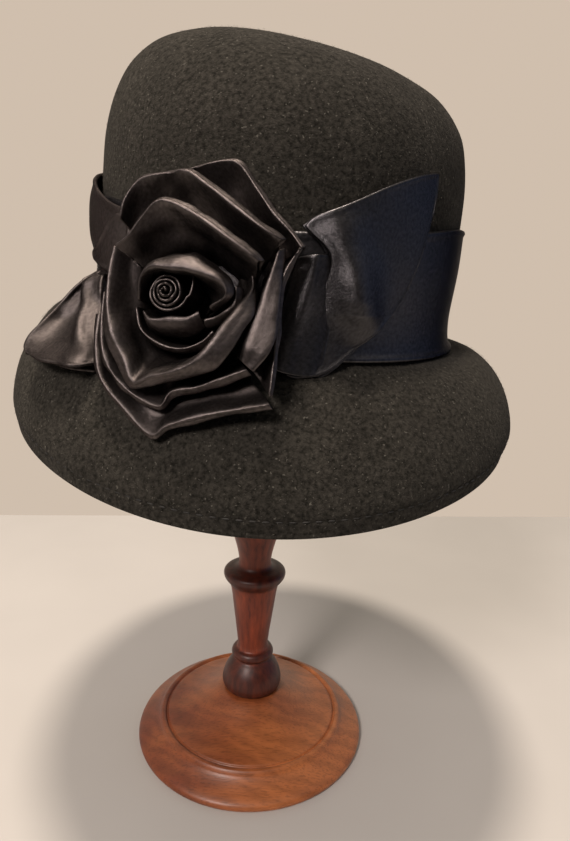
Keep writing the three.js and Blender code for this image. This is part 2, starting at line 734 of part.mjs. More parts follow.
    rows: [
      [34, 9, 5, 41, 14, 12.5, 43, 15, 10.5],
      [33, 2, 4, 39.6, 6, 12.5, 42, 6.4, 10],
      [32, -6, 4, 38.6, -3, 12.5, 41.4, -3, 10],
      [30, -14, 4.4, 37, -14, 12.5, 39.8, -14.2, 10],
      [28, -20, 5, 36, -24, 12.5, 38.4, -24.6, 10],
      [27, -25, 6, 35, -33, 13, 36.6, -34.4, 11],
    ],
  },
  {
    name: "rose_petal_lower_outer",
    rows: [
      [27, -29, 6.4, 35, -36, 13, 36, -37.6, 11.4],
      [20, -31.5, 7.4, 25, -38.5, 15, 25.2, -40.4, 13],
      [12, -33, 8, 14, -41.5, 16, 14.2, -43.4, 14],
      [4, -36, 8.8, 3, -45.5, 16.4, 2.8, -47.4, 14.6],
      [-3, -38.5, 9.6, -3, -49, 16, -3.6, -50.6, 14.4],
      [-11, -35, 8.4, -14, -41, 14.6, -15.6, -42, 12.8],
      [-19, -28, 5.4, -23.5, -32, 13, -25.4, -32.8, 11],
      [-23, -19, 4, -27.5, -21, 11, -29.6, -21.2, 9],
      [-24, -10, 3, -28.5, -10, 9, -30.4, -10, 7],
    ],
  },
];

addSheet("rose_core", coilGrid(), COIL_WALL);
for (const petal of PETALS) {
  const rows = table(PETAL_COLUMNS, petal.rows);
  addSheet(petal.name, petalGrid(rows, rows.length - 1), PETAL_WALL);
}

export default hat;
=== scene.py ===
# %% [markdown]
# # A felt cloche hat on a turned wooden stand
# The hat is black wool felt, blocked over a wooden head form into a tall crown and a drooping brim.
# Black satin is sewn on as a band, a wing, a leaf and a large rose of wound ribbon. It all rests on
# a turned stand. The plain construction model gives the places and sizes, and this lesson makes
# the surfaces that are seen. Some folds of satin lie a few millimetres off that model, where their
# shape was drawn again afterwards.

# %% Load the fixed frame
import math

import bmesh
import bpy
import numpy as np
from mathutils import Matrix, Vector


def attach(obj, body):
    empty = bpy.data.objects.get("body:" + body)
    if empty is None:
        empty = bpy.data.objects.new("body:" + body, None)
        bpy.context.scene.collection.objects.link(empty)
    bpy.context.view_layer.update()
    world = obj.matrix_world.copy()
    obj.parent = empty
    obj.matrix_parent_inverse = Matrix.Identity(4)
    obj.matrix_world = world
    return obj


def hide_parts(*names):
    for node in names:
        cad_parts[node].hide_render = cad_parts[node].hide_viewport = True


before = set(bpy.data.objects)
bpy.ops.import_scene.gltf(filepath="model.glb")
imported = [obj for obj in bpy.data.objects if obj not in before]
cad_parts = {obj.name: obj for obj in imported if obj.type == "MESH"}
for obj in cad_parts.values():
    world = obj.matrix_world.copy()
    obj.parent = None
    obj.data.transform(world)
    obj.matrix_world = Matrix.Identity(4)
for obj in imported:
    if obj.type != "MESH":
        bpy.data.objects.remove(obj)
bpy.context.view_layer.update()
MM = 0.001

# %% [markdown]
# ## Camera
# The hat is seen from close by, a little above the middle of the crown, so the brim shows its upper
# side and the stand's foot is seen from above. A close camera with a short lens keeps that strong
# perspective. It is rolled by two degrees, as a camera held by hand is.

# %% Camera
SENSOR = 36.0
FOCAL_LENGTH = 27.05
EYE = Vector((0.01356, -0.32407, 0.26836))
PITCH = math.radians(14.0)
ROLL = math.radians(2.29)

camera = bpy.data.objects.new("camera", bpy.data.cameras.new("camera"))
bpy.context.scene.collection.objects.link(camera)
camera.data.sensor_width = SENSOR
camera.data.lens = FOCAL_LENGTH
camera.data.clip_start = 0.01
turn_down = Matrix.Rotation(math.pi / 2 - PITCH, 4, "X")
camera.matrix_world = Matrix.Translation(EYE) @ turn_down @ Matrix.Rotation(ROLL, 4, "Z")
bpy.context.scene.camera = camera
print("lens", FOCAL_LENGTH, "mm")

# %% [markdown]
# ## Helpers for curves and cloth
# Every soft piece starts as a grid of points on the middle of the cloth. A short table gives a few
# rows of it, and a smooth curve through the rows gives the rest. Modelling the grid from tables
# keeps each fold near the construction model's, which is hard to do when sculpting by hand.


# %% Smooth curves through rows
def along(rows, place):
    """Smooth value of every column at one or many places, counted in rows from 0."""
    rows = np.asarray(rows, float)
    place = np.asarray(place, float)
    first = 2 * rows[0] - rows[1]
    last = 2 * rows[-1] - rows[-2]
    padded = np.vstack([first, rows, last])
    start = np.clip(np.floor(place).astype(int), 0, len(rows) - 2)
    part = (place - start)[..., None]
    p0, p1, p2, p3 = (padded[start + k] for k in range(4))
    cubic = 3 * p1 - p0 - 3 * p2 + p3
    square = 2 * p0 - 5 * p1 + 4 * p2 - p3
    return p1 + 0.5 * part * (p2 - p0 + part * (square + part * cubic))


def ripple(points, seed, size, depth, waves=8):
    """Soft random waves of about one size through space, as a height for each point."""
    draw = np.random.default_rng(seed)
    total = np.zeros(points.shape[:-1])
    for _ in range(waves):
        direction = draw.normal(size=3)
        direction /= np.linalg.norm(direction)
        pitch = size * draw.uniform(0.7, 1.5)
        total += np.sin(points @ direction * math.tau / pitch + draw.uniform(0, math.tau))
    return depth * total / math.sqrt(waves)


TINY = 1e-9  # lengths are taken as at least this, so that none is divided by zero


def unit(vectors):
    """Vectors of length one, in the same directions."""
    return vectors / np.maximum(np.linalg.norm(vectors, axis=-1, keepdims=True), TINY)


print("half a row in, a curve through 0, 1 and 0 is at", along([[0], [1], [0]], 0.5)[0])


# %% Mesh objects
def add_object(name, points, faces, uvs=None):
    """A smooth mesh object from points in millimetres; uvs has one pair for each point."""
    mesh = bpy.data.meshes.new(name)
    mesh.from_pydata((np.asarray(points) * MM).tolist(), [], faces)
    if uvs is not None:
        layer = mesh.uv_layers.new(name="cloth")
        corners = np.empty(len(mesh.loops), dtype=np.int32)
        mesh.loops.foreach_get("vertex_index", corners)
        layer.data.foreach_set("uv", np.asarray(uvs, np.float32)[corners].ravel())
    mesh.shade_smooth()
    piece = bpy.data.objects.new(name, mesh)
    bpy.context.scene.collection.objects.link(piece)
    return piece


def finish_piece(piece, material, slot, *nodes):
    """Gives a piece its material, hangs it under the root and hides the construction nodes that it
    stands for; slot is not used.
    """
    piece.data.materials.append(material)
    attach(piece, "root")
    if nodes:
        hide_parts(*nodes)
    print(f"{piece.name}: {len(piece.data.polygons)} faces")


# %% Cloth from a grid
RIM_STEPS = 4  # faces across the half-round edge of a sheet


def grid_normals(middle, loop=False):
    """Unit normals of a grid of points; loop says that its first row follows its last."""
    if loop:
        wrapped = np.concatenate([middle[-1:], middle, middle[:1]])
        lengthwise = wrapped[2:] - wrapped[:-2]
    else:
        lengthwise = np.gradient(middle, axis=0)
    crosswise = np.gradient(middle, axis=1)
    return unit(np.cross(lengthwise, crosswise))


def grid_lengths(middle):
    """Distance run along the grid to each point, lengthwise and crosswise, in millimetres."""
    down = np.linalg.norm(np.diff(middle, axis=0), axis=-1).mean(axis=1)
    across = np.linalg.norm(np.diff(middle, axis=1), axis=-1)
    lengthwise = np.concatenate([[0], np.cumsum(down)])[:, None] + np.zeros(middle.shape[1])
    crosswise = np.concatenate([np.zeros((len(middle), 1)), np.cumsum(across, axis=1)], axis=1)
    return lengthwise, crosswise


def edge_walks(rows, columns, loop):
    """The open edges of a grid, each as a closed walk of (row, column) places."""
    if loop:
        top = [(i, 0) for i in range(rows)]
        bottom = [(i, columns - 1) for i in reversed(range(rows))]
        return [top, bottom]
    walk = [(i, 0) for i in range(rows - 1)]
    walk += [(rows - 1, j) for j in range(columns - 1)]
    walk += [(i, columns - 1) for i in range(rows - 1, 0, -1)]
    walk += [(0, j) for j in range(columns - 1, 0, -1)]
    return [walk]


def inward_ways(middle, i, j, loop):
    """Unit vectors from places on a grid's edge towards the cloth inside it."""
    rows, columns = middle.shape[:2]
    centre = middle[i, j]
    inward = np.zeros_like(centre)
    inward += (j == 0)[:, None] * unit(middle[i, np.minimum(j + 1, columns - 1)] - centre)
    inward += (j == columns - 1)[:, None] * unit(middle[i, np.maximum(j - 1, 0)] - centre)
    if not loop:
        inward += (i == 0)[:, None] * unit(middle[np.minimum(i + 1, rows - 1), j] - centre)
        inward += (i == rows - 1)[:, None] * unit(middle[np.maximum(i - 1, 0), j] - centre)
    return unit(inward)


def cloth(name, middle, wall, fold=0.0, fold_reach=0.9, loop=False):
    """A closed sheet round a grid; its edges are fuller by fold, over fold_reach millimetres."""
    rows, columns = middle.shape[:2]
    normals = grid_normals(middle, loop)
    lengthwise, crosswise = grid_lengths(middle)
    to_edge = np.minimum(crosswise, crosswise[:, -1:] - crosswise)
    if not loop:
        to_edge = np.minimum(to_edge, np.minimum(lengthwise, lengthwise[-1:] - lengthwise))
    half = 0.5 * wall * (1 + fold * np.exp(-((to_edge / fold_reach) ** 2)))[..., None]
    front = middle + normals * half
    back = middle - normals * half
    uv = np.stack([lengthwise, crosswise], axis=-1) * MM
    points = [front.reshape(-1, 3), back.reshape(-1, 3)]
    uvs = [uv.reshape(-1, 2), uv.reshape(-1, 2)]
    count = rows * columns
    faces = []

    def at(side, i, j):
        return side * count + (i % rows) * columns + j

    for i in range(rows if loop else rows - 1):
        for j in range(columns - 1):
            faces.append((at(0, i, j), at(0, i + 1, j), at(0, i + 1, j + 1), at(0, i, j + 1)))
            faces.append((at(1, i, j), at(1, i, j + 1), at(1, i + 1, j + 1), at(1, i + 1, j)))
    filled = 2 * count
    for walk in edge_walks(rows, columns, loop):
        i, j = np.array(walk).T
        inward = inward_ways(middle, i, j, loop)
        rings = [np.array([at(0, a, b) for a, b in walk])]
        for k in range(1, RIM_STEPS):
            turn = math.pi * k / RIM_STEPS
            side = normals[i, j] * half[i, j] * math.cos(turn)
            ring = middle[i, j] + side - inward * half[i, j] * math.sin(turn)
            points.append(ring)
            uvs.append(uv[i, j])
            rings.append(np.arange(filled, filled + len(walk)))
            filled += len(walk)
        rings.append(np.array([at(1, a, b) for a, b in walk]))
        for upper, lower in zip(rings, rings[1:]):
            for k in range(len(walk)):
                after = (k + 1) % len(walk)
                faces.append((upper[k], lower[k], lower[after], upper[after]))
    piece = add_object(name, np.concatenate(points), faces, np.concatenate(uvs))
    face_outwards(piece)
    return piece


def face_outwards(piece):
    """Turns every face of a closed mesh to look out."""
    work = bmesh.new()
    work.from_mesh(piece.data)
    bmesh.ops.recalc_face_normals(work, faces=work.faces)
    work.to_mesh(piece.data)
    work.free()


print("each sheet gets a round edge of", RIM_STEPS, "faces")


# %% [markdown]
# ## Materials
# Real black cloth is never one flat black. Wool felt scatters light softly and shows a mottle of
# dark and greyish wool with pale hairs in it. Satin is smooth on one face, so folds that look up at
# the lamp turn light grey and the rest stays almost black. The wood is stained and varnished.
# All of it is made from noise in the object's own space, so it needs no image files.


# %% Small helpers for material nodes
def new_material(name):
    """A material with nodes, and its node tree."""
    material = bpy.data.materials.new(name)
    material.use_nodes = True
    return material, material.node_tree


def add_node(tree, kind, inputs=None, **settings):
    """A node with settings; each input is linked if it comes from a socket, and else set."""
    node = tree.nodes.new(kind)
    for key, value in settings.items():
        setattr(node, key, value)
    for key, value in (inputs or {}).items():
        if isinstance(value, bpy.types.NodeSocket):
            tree.links.new(value, node.inputs[key])
        else:
            node.inputs[key].default_value = value
    return node


def ramp(tree, factor, *stops):
    """A colour ramp; each stop is a place and a linear colour or a single grey."""
    node = add_node(tree, "ShaderNodeValToRGB", {"Fac": factor})
    elements = node.color_ramp.elements
    while len(elements) < len(stops):
        elements.new(0.5)
    for element, (place, colour) in zip(elements, stops):
        grey = not isinstance(colour, tuple)
        element.position = place
        element.color = (colour, colour, colour, 1) if grey else (*colour, 1)
    return node.outputs["Color"]


def noise(tree, vector, scale, detail=3.0, roughness=0.5):
    """Cloudy noise from 0 to 1; a larger scale makes it finer."""
    inputs = {"Vector": vector, "Scale": scale, "Detail": detail, "Roughness": roughness}
    return add_node(tree, "ShaderNodeTexNoise", inputs).outputs["Fac"]


FIRST_COLOUR, SECOND_COLOUR, MIXED_COLOUR = 6, 7, 2  # places of the mix node's colour sockets


def mix_colours(tree, factor, first, second, blend="MIX"):
    """Two colours mixed by a factor; each is a socket or a linear colour."""
    inputs = {"Factor": factor}
    node = add_node(tree, "ShaderNodeMix", inputs, data_type="RGBA", blend_type=blend)
    for place, value in ((FIRST_COLOUR, first), (SECOND_COLOUR, second)):
        socket = node.inputs[place]
        if isinstance(value, bpy.types.NodeSocket):
            tree.links.new(value, socket)
        else:
            socket.default_value = (*value, 1)
    return node.outputs[MIXED_COLOUR]


def place_in_object(tree, stretch=(1, 1, 1)):
    """Object coordinates in metres, stretched along each axis."""
    source = add_node(tree, "ShaderNodeTexCoord").outputs["Object"]
    inputs = {"Vector": source, "Scale": stretch}
    return add_node(tree, "ShaderNodeMapping", inputs).outputs["Vector"]


def bump(tree, height, distance, strength=1.0, normal=None):
    """A normal tilted by a height of so many metres, on top of another normal if one is given."""
    inputs = {"Height": height, "Distance": distance, "Strength": strength}
    if normal is not None:
        inputs["Normal"] = normal
    return add_node(tree, "ShaderNodeBump", inputs).outputs["Normal"]


def set_sockets(tree, **values):
    """Sets or links sockets of the material's one shader; underscores stand for spaces."""
    shader = tree.nodes["Principled BSDF"]
    for key, value in values.items():
        socket = shader.inputs[key.replace("_", " ")]
        if isinstance(value, bpy.types.NodeSocket):
            tree.links.new(value, socket)
        else:
            socket.default_value = value


# %% [markdown]
# ### Wool felt
# Felt is matted wool. Seen close, darker and lighter tufts of one to three millimetres cover it,
# with a green-brown cast, and its surface is pitted where the fibres lock. A rough shader with a
# little sheen gives the pale bloom that felt has on its rounded edges.


# %% Wool felt
def felt_material():
    """Mottled wool with pale specks, matt and pitted."""
    material, tree = new_material("wool_felt")
    space = place_in_object(tree)
    tufts = noise(tree, space, 640, 4, 0.62)
    clouds = noise(tree, space, 45, 2)
    grain = noise(tree, space, 1900, 2, 0.6)
    dark = ramp(tree, tufts, (0.34, (0.012, 0.0115, 0.0095)), (0.68, (0.051, 0.047, 0.040)))
    shade = ramp(tree, clouds, (0.3, 0.84), (0.7, 1.12))
    tinted = mix_colours(tree, 1.0, dark, shade, "MULTIPLY")
    specks = ramp(tree, noise(tree, space, 980, 1, 0.4), (0.70, 0.0), (0.76, 1.0))
    colour = mix_colours(tree, specks, tinted, (0.11, 0.105, 0.09))
    coarse = bump(tree, tufts, 0.0006)
    normal = bump(tree, grain, 0.0004, 0.8, coarse)
    set_sockets(tree, Base_Color=colour, Normal=normal, Roughness=0.95, Specular_IOR_Level=0.05)
    set_sockets(tree, Sheen_Weight=0.04, Sheen_Roughness=0.6, Sheen_Tint=(0.8, 0.76, 0.68, 1))
    return material


def hair_material(name, colour):
    """Wool or thread of one colour that is lighter in some places than in others."""
    material, tree = new_material(name)
    shade = ramp(tree, noise(tree, place_in_object(tree), 160, 2), (0.3, 0.55), (0.75, 1.3))
    set_sockets(tree, Base_Color=mix_colours(tree, 1.0, colour, shade, "MULTIPLY"))
    set_sockets(tree, Roughness=0.7)
    return material


felt = felt_material()
pale_hair = hair_material("pale_wool_hair", (0.21, 0.195, 0.165))
dark_hair = hair_material("dark_wool_hair", (0.045, 0.042, 0.035))
thread = hair_material("stitching_thread", (0.02, 0.019, 0.017))
print("felt, hair and thread are ready")

# %% [markdown]
# ### Black satin
# Satin floats most of its threads over the surface, so light slides along them and highlights are
# broad and soft. The weave itself is far below a millimetre and shows as a fine grain where light
# catches it. Dyed black, it gives back almost nothing but that gloss, and its threads keep it from
# turning into a mirror at its edges as plastic would. A dark metallic shader does both, where an
# ordinary one would draw a pale rim round every fold. The rose is a warm black, the band cooler,
# and the leaf the dullest.


# %% Black satin
THREADS = 2600  # noise scale of the weave
SLUBS = 700  # noise scale of its thicker threads
SMOOTHER, ROUGHER = 0.05, 0.07  # how far the roughness drifts each way


def satin_material(name, shine, rim_shine, roughness):
    """Black satin; shine is what it reflects face on and rim_shine how that grows at a graze."""
    material, tree = new_material(name)
    cloth_space = add_node(tree, "ShaderNodeTexCoord").outputs["UV"]
    mapping = {"Vector": cloth_space, "Scale": (1.0, 3.0, 1.0)}
    threads = add_node(tree, "ShaderNodeMapping", mapping).outputs["Vector"]
    weave = noise(tree, threads, THREADS, 2, 0.6)
    slub = noise(tree, cloth_space, SLUBS, 3, 0.6)
    drift = noise(tree, place_in_object(tree), 60, 2)
    shade = ramp(tree, slub, (0.3, 0.7), (0.7, 1.3))
    colour = mix_colours(tree, 1.0, shine, shade, "MULTIPLY")
    low, high = roughness - SMOOTHER, roughness + ROUGHER
    gloss = add_node(tree, "ShaderNodeMapRange", {"Value": drift, "To Min": low, "To Max": high})
    fine = bump(tree, weave, 0.00008)
    normal = bump(tree, slub, 0.00014, 0.8, fine)
    set_sockets(tree, Base_Color=colour, Roughness=gloss.outputs["Result"], Normal=normal)
    set_sockets(tree, Metallic=1.0, Specular_Tint=(*rim_shine, 1))
    return material


rose_satin = satin_material("rose_satin", (0.116, 0.101, 0.098), (0.10, 0.09, 0.09), 0.41)
band_satin = satin_material("band_satin", (0.092, 0.089, 0.094), (0.12, 0.12, 0.13), 0.32)
leaf_satin = satin_material("leaf_satin", (0.090, 0.079, 0.077), (0.10, 0.09, 0.09), 0.44)
print("three satins are ready")

# %% [markdown]
# ### Stained wood
# The stand is turned from a reddish hardwood. Its foot is a disc cut from a plank, so the grain
# runs across it in wandering bands, and it is a lighter orange brown, with painted shade that
# darkens its left side. The column's grain runs upright, and its ring, collar and bulb are stained
# nearly black. Varnish gives both a soft gloss.


# %% Stained wood
PAINTED_SHADE_SLOPE = 4.0  # painted shade: the foot gets lighter to the right and darker to the left by this much a metre


def base_wood_material():
    """Wandering bands of a flat-sawn plank, pitted with pores, with painted shade on the left."""
    material, tree = new_material("varnished_base_wood")
    space = place_in_object(tree, (1.0, 2.2, 3.0))
    bend = noise(tree, space, 14, 3, 0.55)
    rings = add_node(
        tree,
        "ShaderNodeTexWave",
        {"Vector": space, "Scale": 24, "Distortion": 9.0, "Detail": 3.0, "Detail Scale": 1.4},
        wave_type="BANDS",
        bands_direction="DIAGONAL",
    ).outputs["Fac"]
    pores = noise(tree, place_in_object(tree, (1.0, 7.0, 7.0)), 210, 3, 0.6)
    # painted shade: a ramp across x darkens the foot's left side, added to the plank's wandering
    # bands
    source = add_node(tree, "ShaderNodeTexCoord").outputs["Object"]
    sideways = add_node(tree, "ShaderNodeSeparateXYZ", {"Vector": source}).outputs["X"]
    inputs = {0: sideways, 1: PAINTED_SHADE_SLOPE, 2: bend}
    grain_and_painted_shade = add_node(tree, "ShaderNodeMath", inputs, operation="MULTIPLY_ADD").outputs[0]
    broad = ramp(tree, grain_and_painted_shade, (0.20, (0.20, 0.045, 0.015)), (0.80, (0.54, 0.180, 0.056)))
    grain = ramp(tree, rings, (0.0, 0.86), (1.0, 1.09))
    banded = mix_colours(tree, 1.0, broad, grain, "MULTIPLY")
    pitted = ramp(tree, pores, (0.36, 0.70), (0.50, 1.0))
    colour = mix_colours(tree, 1.0, banded, pitted, "MULTIPLY")
    normal = bump(tree, pores, 0.00008)
    set_sockets(tree, Base_Color=colour, Normal=normal, Roughness=0.42)
    set_sockets(tree, Coat_Weight=0.18, Coat_Roughness=0.3)
    return material


def column_wood_material(dark_spans):
    """Upright grain; dark_spans lists low and high ends, in metres, and the stain on each."""
    material, tree = new_material("varnished_column_wood")
    space = place_in_object(tree, (1.0, 1.0, 0.10))
    streaks = noise(tree, space, 330, 4, 0.62)
    broad = noise(tree, space, 60, 2)
    light = ramp(tree, streaks, (0.32, (0.095, 0.013, 0.005)), (0.68, (0.29, 0.053, 0.017)))
    shade = ramp(tree, broad, (0.3, 0.72), (0.7, 1.15))
    colour = mix_colours(tree, 1.0, light, shade, "MULTIPLY")
    source = add_node(tree, "ShaderNodeTexCoord").outputs["Object"]
    height = add_node(tree, "ShaderNodeSeparateXYZ", {"Vector": source}).outputs["Z"]
    for low, high, stain in dark_spans:
        middle, reach = (low + high) / 2, (high - low) / 2
        away = add_node(tree, "ShaderNodeMath", {0: height, 1: middle}, operation="SUBTRACT")
        away = add_node(tree, "ShaderNodeMath", {0: away.outputs[0]}, operation="ABSOLUTE")
        inputs = {"Value": away.outputs[0], "From Min": reach * 0.8, "From Max": reach * 1.1}
        inputs.update({"To Min": 1.0, "To Max": 0.0})
        inside = add_node(tree, "ShaderNodeMapRange", inputs).outputs["Result"]
        stained = mix_colours(tree, 1.0, colour, stain, "MULTIPLY")
        colour = mix_colours(tree, inside, colour, stained)
    set_sockets(tree, Base_Color=colour, Normal=bump(tree, streaks, 0.00012), Roughness=0.48)
    set_sockets(tree, Coat_Weight=0.12, Coat_Roughness=0.3)
    return material


# %% [markdown]
# ## The turned stand
# A turner cuts beads, coves and tapers into spinning wood, and every corner is softened by sanding.
# The outline is the construction model's own, its corners are cut off three times over to round
# them, and the curve is then spun round the axis. Long sides lose more to the cuts than short ones,
# so the post narrows towards its hidden end. A curve with a screw modifier would look the same, but
# spinning the points in code leaves no modifier to apply.

# %% Outlines of the stand
# all in millimetres, and each outline is a list of (radius, height)
GAP = 0.3
BASE_RADIUS = 65
BASE_TOP = 27.6
COLUMN_FOOT = BASE_TOP + GAP
CAP_UNDERSIDE = 325.3
POST_RADIUS = 11
TURNED_SIDES = 128
SANDING = 3  # times that each corner is cut off

BASE_OUTLINE = [
    (0, 0), (BASE_RADIUS - 1.2, 0), (BASE_RADIUS, 1.2), (BASE_RADIUS, 3), (63.4, 4.8),
    (57.5, 7.8), (53.6, 10.6), (52.6, 12.6), (51.5, 13.7), (50, 13.5), (49.2, 12.3),
    (48.6, 12.4), (48, 13.8), (42, 14.6), (35, 16.8), (28, 20.2), (22, 24), (18.2, 26.6),
    (15.4, BASE_TOP), (0, BASE_TOP),
]
COLUMN_OUTLINE = [
    (0, COLUMN_FOOT), (15.2, COLUMN_FOOT), (16.6, 30), (17.2, 33), (15.6, 39.5),
    (12.4, 44.5), (9.8, 47), (11.6, 48), (12.1, 50), (11.1, 52.2), (8.5, 53), (8.6, 57),
    (11, 76), (13.2, 93.5), (15.6, 95.6), (17.6, 99), (16.6, 102), (9.4, 103), (8.6, 108),
    (11.5, 120.5), (17, 136), (17, 141), (POST_RADIUS, 145),
    (POST_RADIUS, CAP_UNDERSIDE - GAP), (0, CAP_UNDERSIDE - GAP),
]
CAP_OUTLINE = [
    (0, CAP_UNDERSIDE), (44, CAP_UNDERSIDE), (48, CAP_UNDERSIDE + 3), (48, CAP_UNDERSIDE + 10),
    (42, CAP_UNDERSIDE + 20), (30, CAP_UNDERSIDE + 26), (14, CAP_UNDERSIDE + 29),
    (0, CAP_UNDERSIDE + 29.6),
]
print("the foot is", 2 * BASE_RADIUS, "mm across and the cap starts at", CAP_UNDERSIDE, "mm")


# %% Spin the outlines
def sand(outline):
    """Cuts each corner of an outline at a quarter and three quarters of its two sides."""
    points = np.array(outline, float)
    for _ in range(SANDING):
        first, second = points[:-1], points[1:]
        cut = np.stack([0.75 * first + 0.25 * second, 0.25 * first + 0.75 * second], axis=1)
        points = np.vstack([points[:1], cut.reshape(-1, 2)[1:-1], points[-1:]])
    return points


def skin(name, rings, first_pole, last_pole):
    """A closed skin over rings of points with a point at each end."""
    count, sides = rings.shape[:2]
    points = np.vstack([[first_pole], rings.reshape(-1, 3), [last_pole]])
    end = len(points) - 1

    def at(ring, k):
        return 1 + ring * sides + k % sides

    faces = [(0, at(0, k), at(0, k + 1)) for k in range(sides)]
    faces += [(end, at(count - 1, k + 1), at(count - 1, k)) for k in range(sides)]
    for ring in range(count - 1):
        for k in range(sides):
            faces.append((at(ring, k), at(ring + 1, k), at(ring + 1, k + 1), at(ring, k + 1)))
    piece = add_object(name, points, faces)
    face_outwards(piece)
    return piece


def turned(name, outline):
    """Spins an outline of (radius, height) that starts and ends on the axis."""
    ring_radii, ring_heights = sand(outline)[1:-1].T
    turns = np.arange(TURNED_SIDES) * math.tau / TURNED_SIDES
    x = ring_radii[:, None] * np.cos(turns)
    y = ring_radii[:, None] * np.sin(turns)
    z = ring_heights[:, None] + np.zeros(TURNED_SIDES)
    rings = np.stack([x, y, z], axis=-1)
    return skin(name, rings, (0, 0, outline[0][1]), (0, 0, outline[-1][1]))


RING_STAIN = (0.32, 0.30, 0.36)
BULB_STAIN = (0.36, 0.34, 0.40)
# low and high ends of each stained span, in metres, and its stain
RING = (0.0932, 0.1050, RING_STAIN)
COLLAR = (0.0468, 0.0530, BULB_STAIN)
BULB = (0.0270, 0.0475, BULB_STAIN)
column_wood = column_wood_material([RING, COLLAR, BULB])
base_wood = base_wood_material()

finish_piece(turned("turned_foot", BASE_OUTLINE), base_wood, "base_wood", "stand_base")
finish_piece(turned("turned_column", COLUMN_OUTLINE), column_wood, "column_wood", "stand_column")
finish_piece(turned("hidden_cap", CAP_OUTLINE), column_wood, "column_wood", "stand_cap")

# %% [markdown]
# ## The felt body
# The felt is one blocked cone of wool: crown, crease and brim are the same piece. Its rows are
# ovals that lean and rise round the head, which keeps its sizes better than sculpting would.
# The grid here is fine enough to show the soft unevenness of steamed wool, the rounded hem turned
# under at the brim, and the channel its stitches pull.

# %% The shape of the felt
FELT_WALL = 2.5
HEM_WALL = 4.4
HEM_ROUND = 1.3
BACK_LEFT = 125  # the angle, in degrees from the right, where the rise at the back is highest
# half width, half depth, shift, height, lean to the right, rise at both sides, rise at the back
FELT_ROWS = [
    (0, 0, 1, 361, 0, 0, 0),
    (30, 34, 3, 358.5, -5, 0, 0),
    (55, 58, 7, 352, -7.5, 0, 0),
    (70, 76, 9.5, 343, -7.5, 0, 0),
    (77.5, 87, 10, 332, -6.5, 0, 0),
    (81.5, 94, 9.5, 319, -5, 0, 0),
    (83, 98, 9, 302, -4.5, 0, 0),
    (83, 99, 8, 275, -4.5, 0, 2),
    (82.5, 99, 6, 250, -4.5, 0, 12),
    (85.5, 101, 5, 237, -4.5, 0, 20),
    (93, 106, 4, 231, -4.5, 4, 20),
    (103, 113, 3.5, 223, -4.5, 11, 14),
    (111.5, 121, 3.5, 212, -4.5, 15, 8),
    (117, 128, 3.5, 200, -4.5, 17, 5),
    (119.5, 132, 3.5, 189, -4.5, 16, 3),
    (117.5, 132.5, 3, 181, -4.5, 15, 3),
]
EDGE_ROW = len(FELT_ROWS) - 1
SHOULDER_ROW = 2
fine_rows = np.linspace(SHOULDER_ROW, EDGE_ROW, 2000)
fine_heights = along(FELT_ROWS, fine_rows)[:, 3]


def on_felt(angle, row):
    """Points on the felt's outer face; angle is in degrees and -90 is the front."""
    angle, row = np.broadcast_arrays(np.asarray(angle, float), np.asarray(row, float))
    width, depth, shift, height, lean, side, back = np.moveaxis(along(FELT_ROWS, row), -1, 0)
    turn = np.radians(angle)
    towards_back = (0.5 + 0.5 * np.cos(turn - math.radians(BACK_LEFT))) ** 2
    rise = lean * np.cos(turn) + side * np.cos(turn) ** 2 + back * towards_back
    return np.stack([shift + width * np.cos(turn), depth * np.sin(turn), height + rise], axis=-1)


def off_felt(angle, row, lift):
    """The same points lifted off the felt along its outward normal."""
    angle, row, lift = np.broadcast_arrays(angle, row, np.asarray(lift, float))
    place = on_felt(angle, row)
    around = on_felt(angle + 1, row) - on_felt(angle - 1, row)
    down = on_felt(angle, np.minimum(row + 0.05, EDGE_ROW)) - on_felt(angle, row - 0.05)
    return place + unit(np.cross(down, around)) * lift[..., None]


def row_at(height):
    """The row whose oval has a given middle height."""
    return np.interp(-np.asarray(height, float), -fine_heights, fine_rows)


print("the brim is", 2 * FELT_ROWS[-1][0], "by", 2 * FELT_ROWS[-1][1], "mm round its edge")


# %% Blocked felt with its turned hem
FELT_SIDES = 256
STITCH_ROW = 14.33
CHANNEL_WIDTH = 0.07  # in rows
CHANNEL_DEPTH = 0.35
HEM_START = 14.0  # the row where the felt starts to thicken
HEM_SPREAD = 0.3  # and the rows it takes
EDGE_SPREAD = 0.12  # rows over which the unevenness dies out at the edge
WAVES = (3, 70, 0.35)  # seed, size and depth of the wide unevenness
DIMPLES = (4, 24, 0.10)  # and of the small one


def felt_face(rows, inner):
    """One face of the felt as rings of points, with the unevenness of steamed wool."""
    angles = np.arange(FELT_SIDES) * 360 / FELT_SIDES
    row = rows[:, None]
    outside = off_felt(angles, row, 0.0)
    uneven = ripple(outside, *WAVES) + ripple(outside, *DIMPLES)
    channel = CHANNEL_DEPTH * np.exp(-(((row - STITCH_ROW) / CHANNEL_WIDTH) ** 2))
    hem = np.clip((row - HEM_START) / HEM_SPREAD, 0, 1)
    wall = FELT_WALL + (HEM_WALL - FELT_WALL) * hem * hem * (3 - 2 * hem)  # a smooth step
    edge = np.clip((EDGE_ROW - row) / EDGE_SPREAD, 0, 1)
    lift = (uneven - channel) * edge
    return off_felt(angles, row, lift if not inner else -wall + lift)


def felt_hem():
    """Half-round edge from the outer face to the inner one."""
    angles = np.arange(FELT_SIDES) * 360 / FELT_SIDES
    outer = off_felt(angles, EDGE_ROW, 0.0)
    inner = off_felt(angles, EDGE_ROW, -HEM_WALL)
    downhill = unit(on_felt(angles, EDGE_ROW) - on_felt(angles, EDGE_ROW - 0.2))
    centre, half = (outer + inner) / 2, (outer - inner) / 2
    turns = np.linspace(0, math.pi, 10)[1:-1, None, None]
    return centre + half * np.cos(turns) + downhill * HEM_ROUND * np.sin(turns)


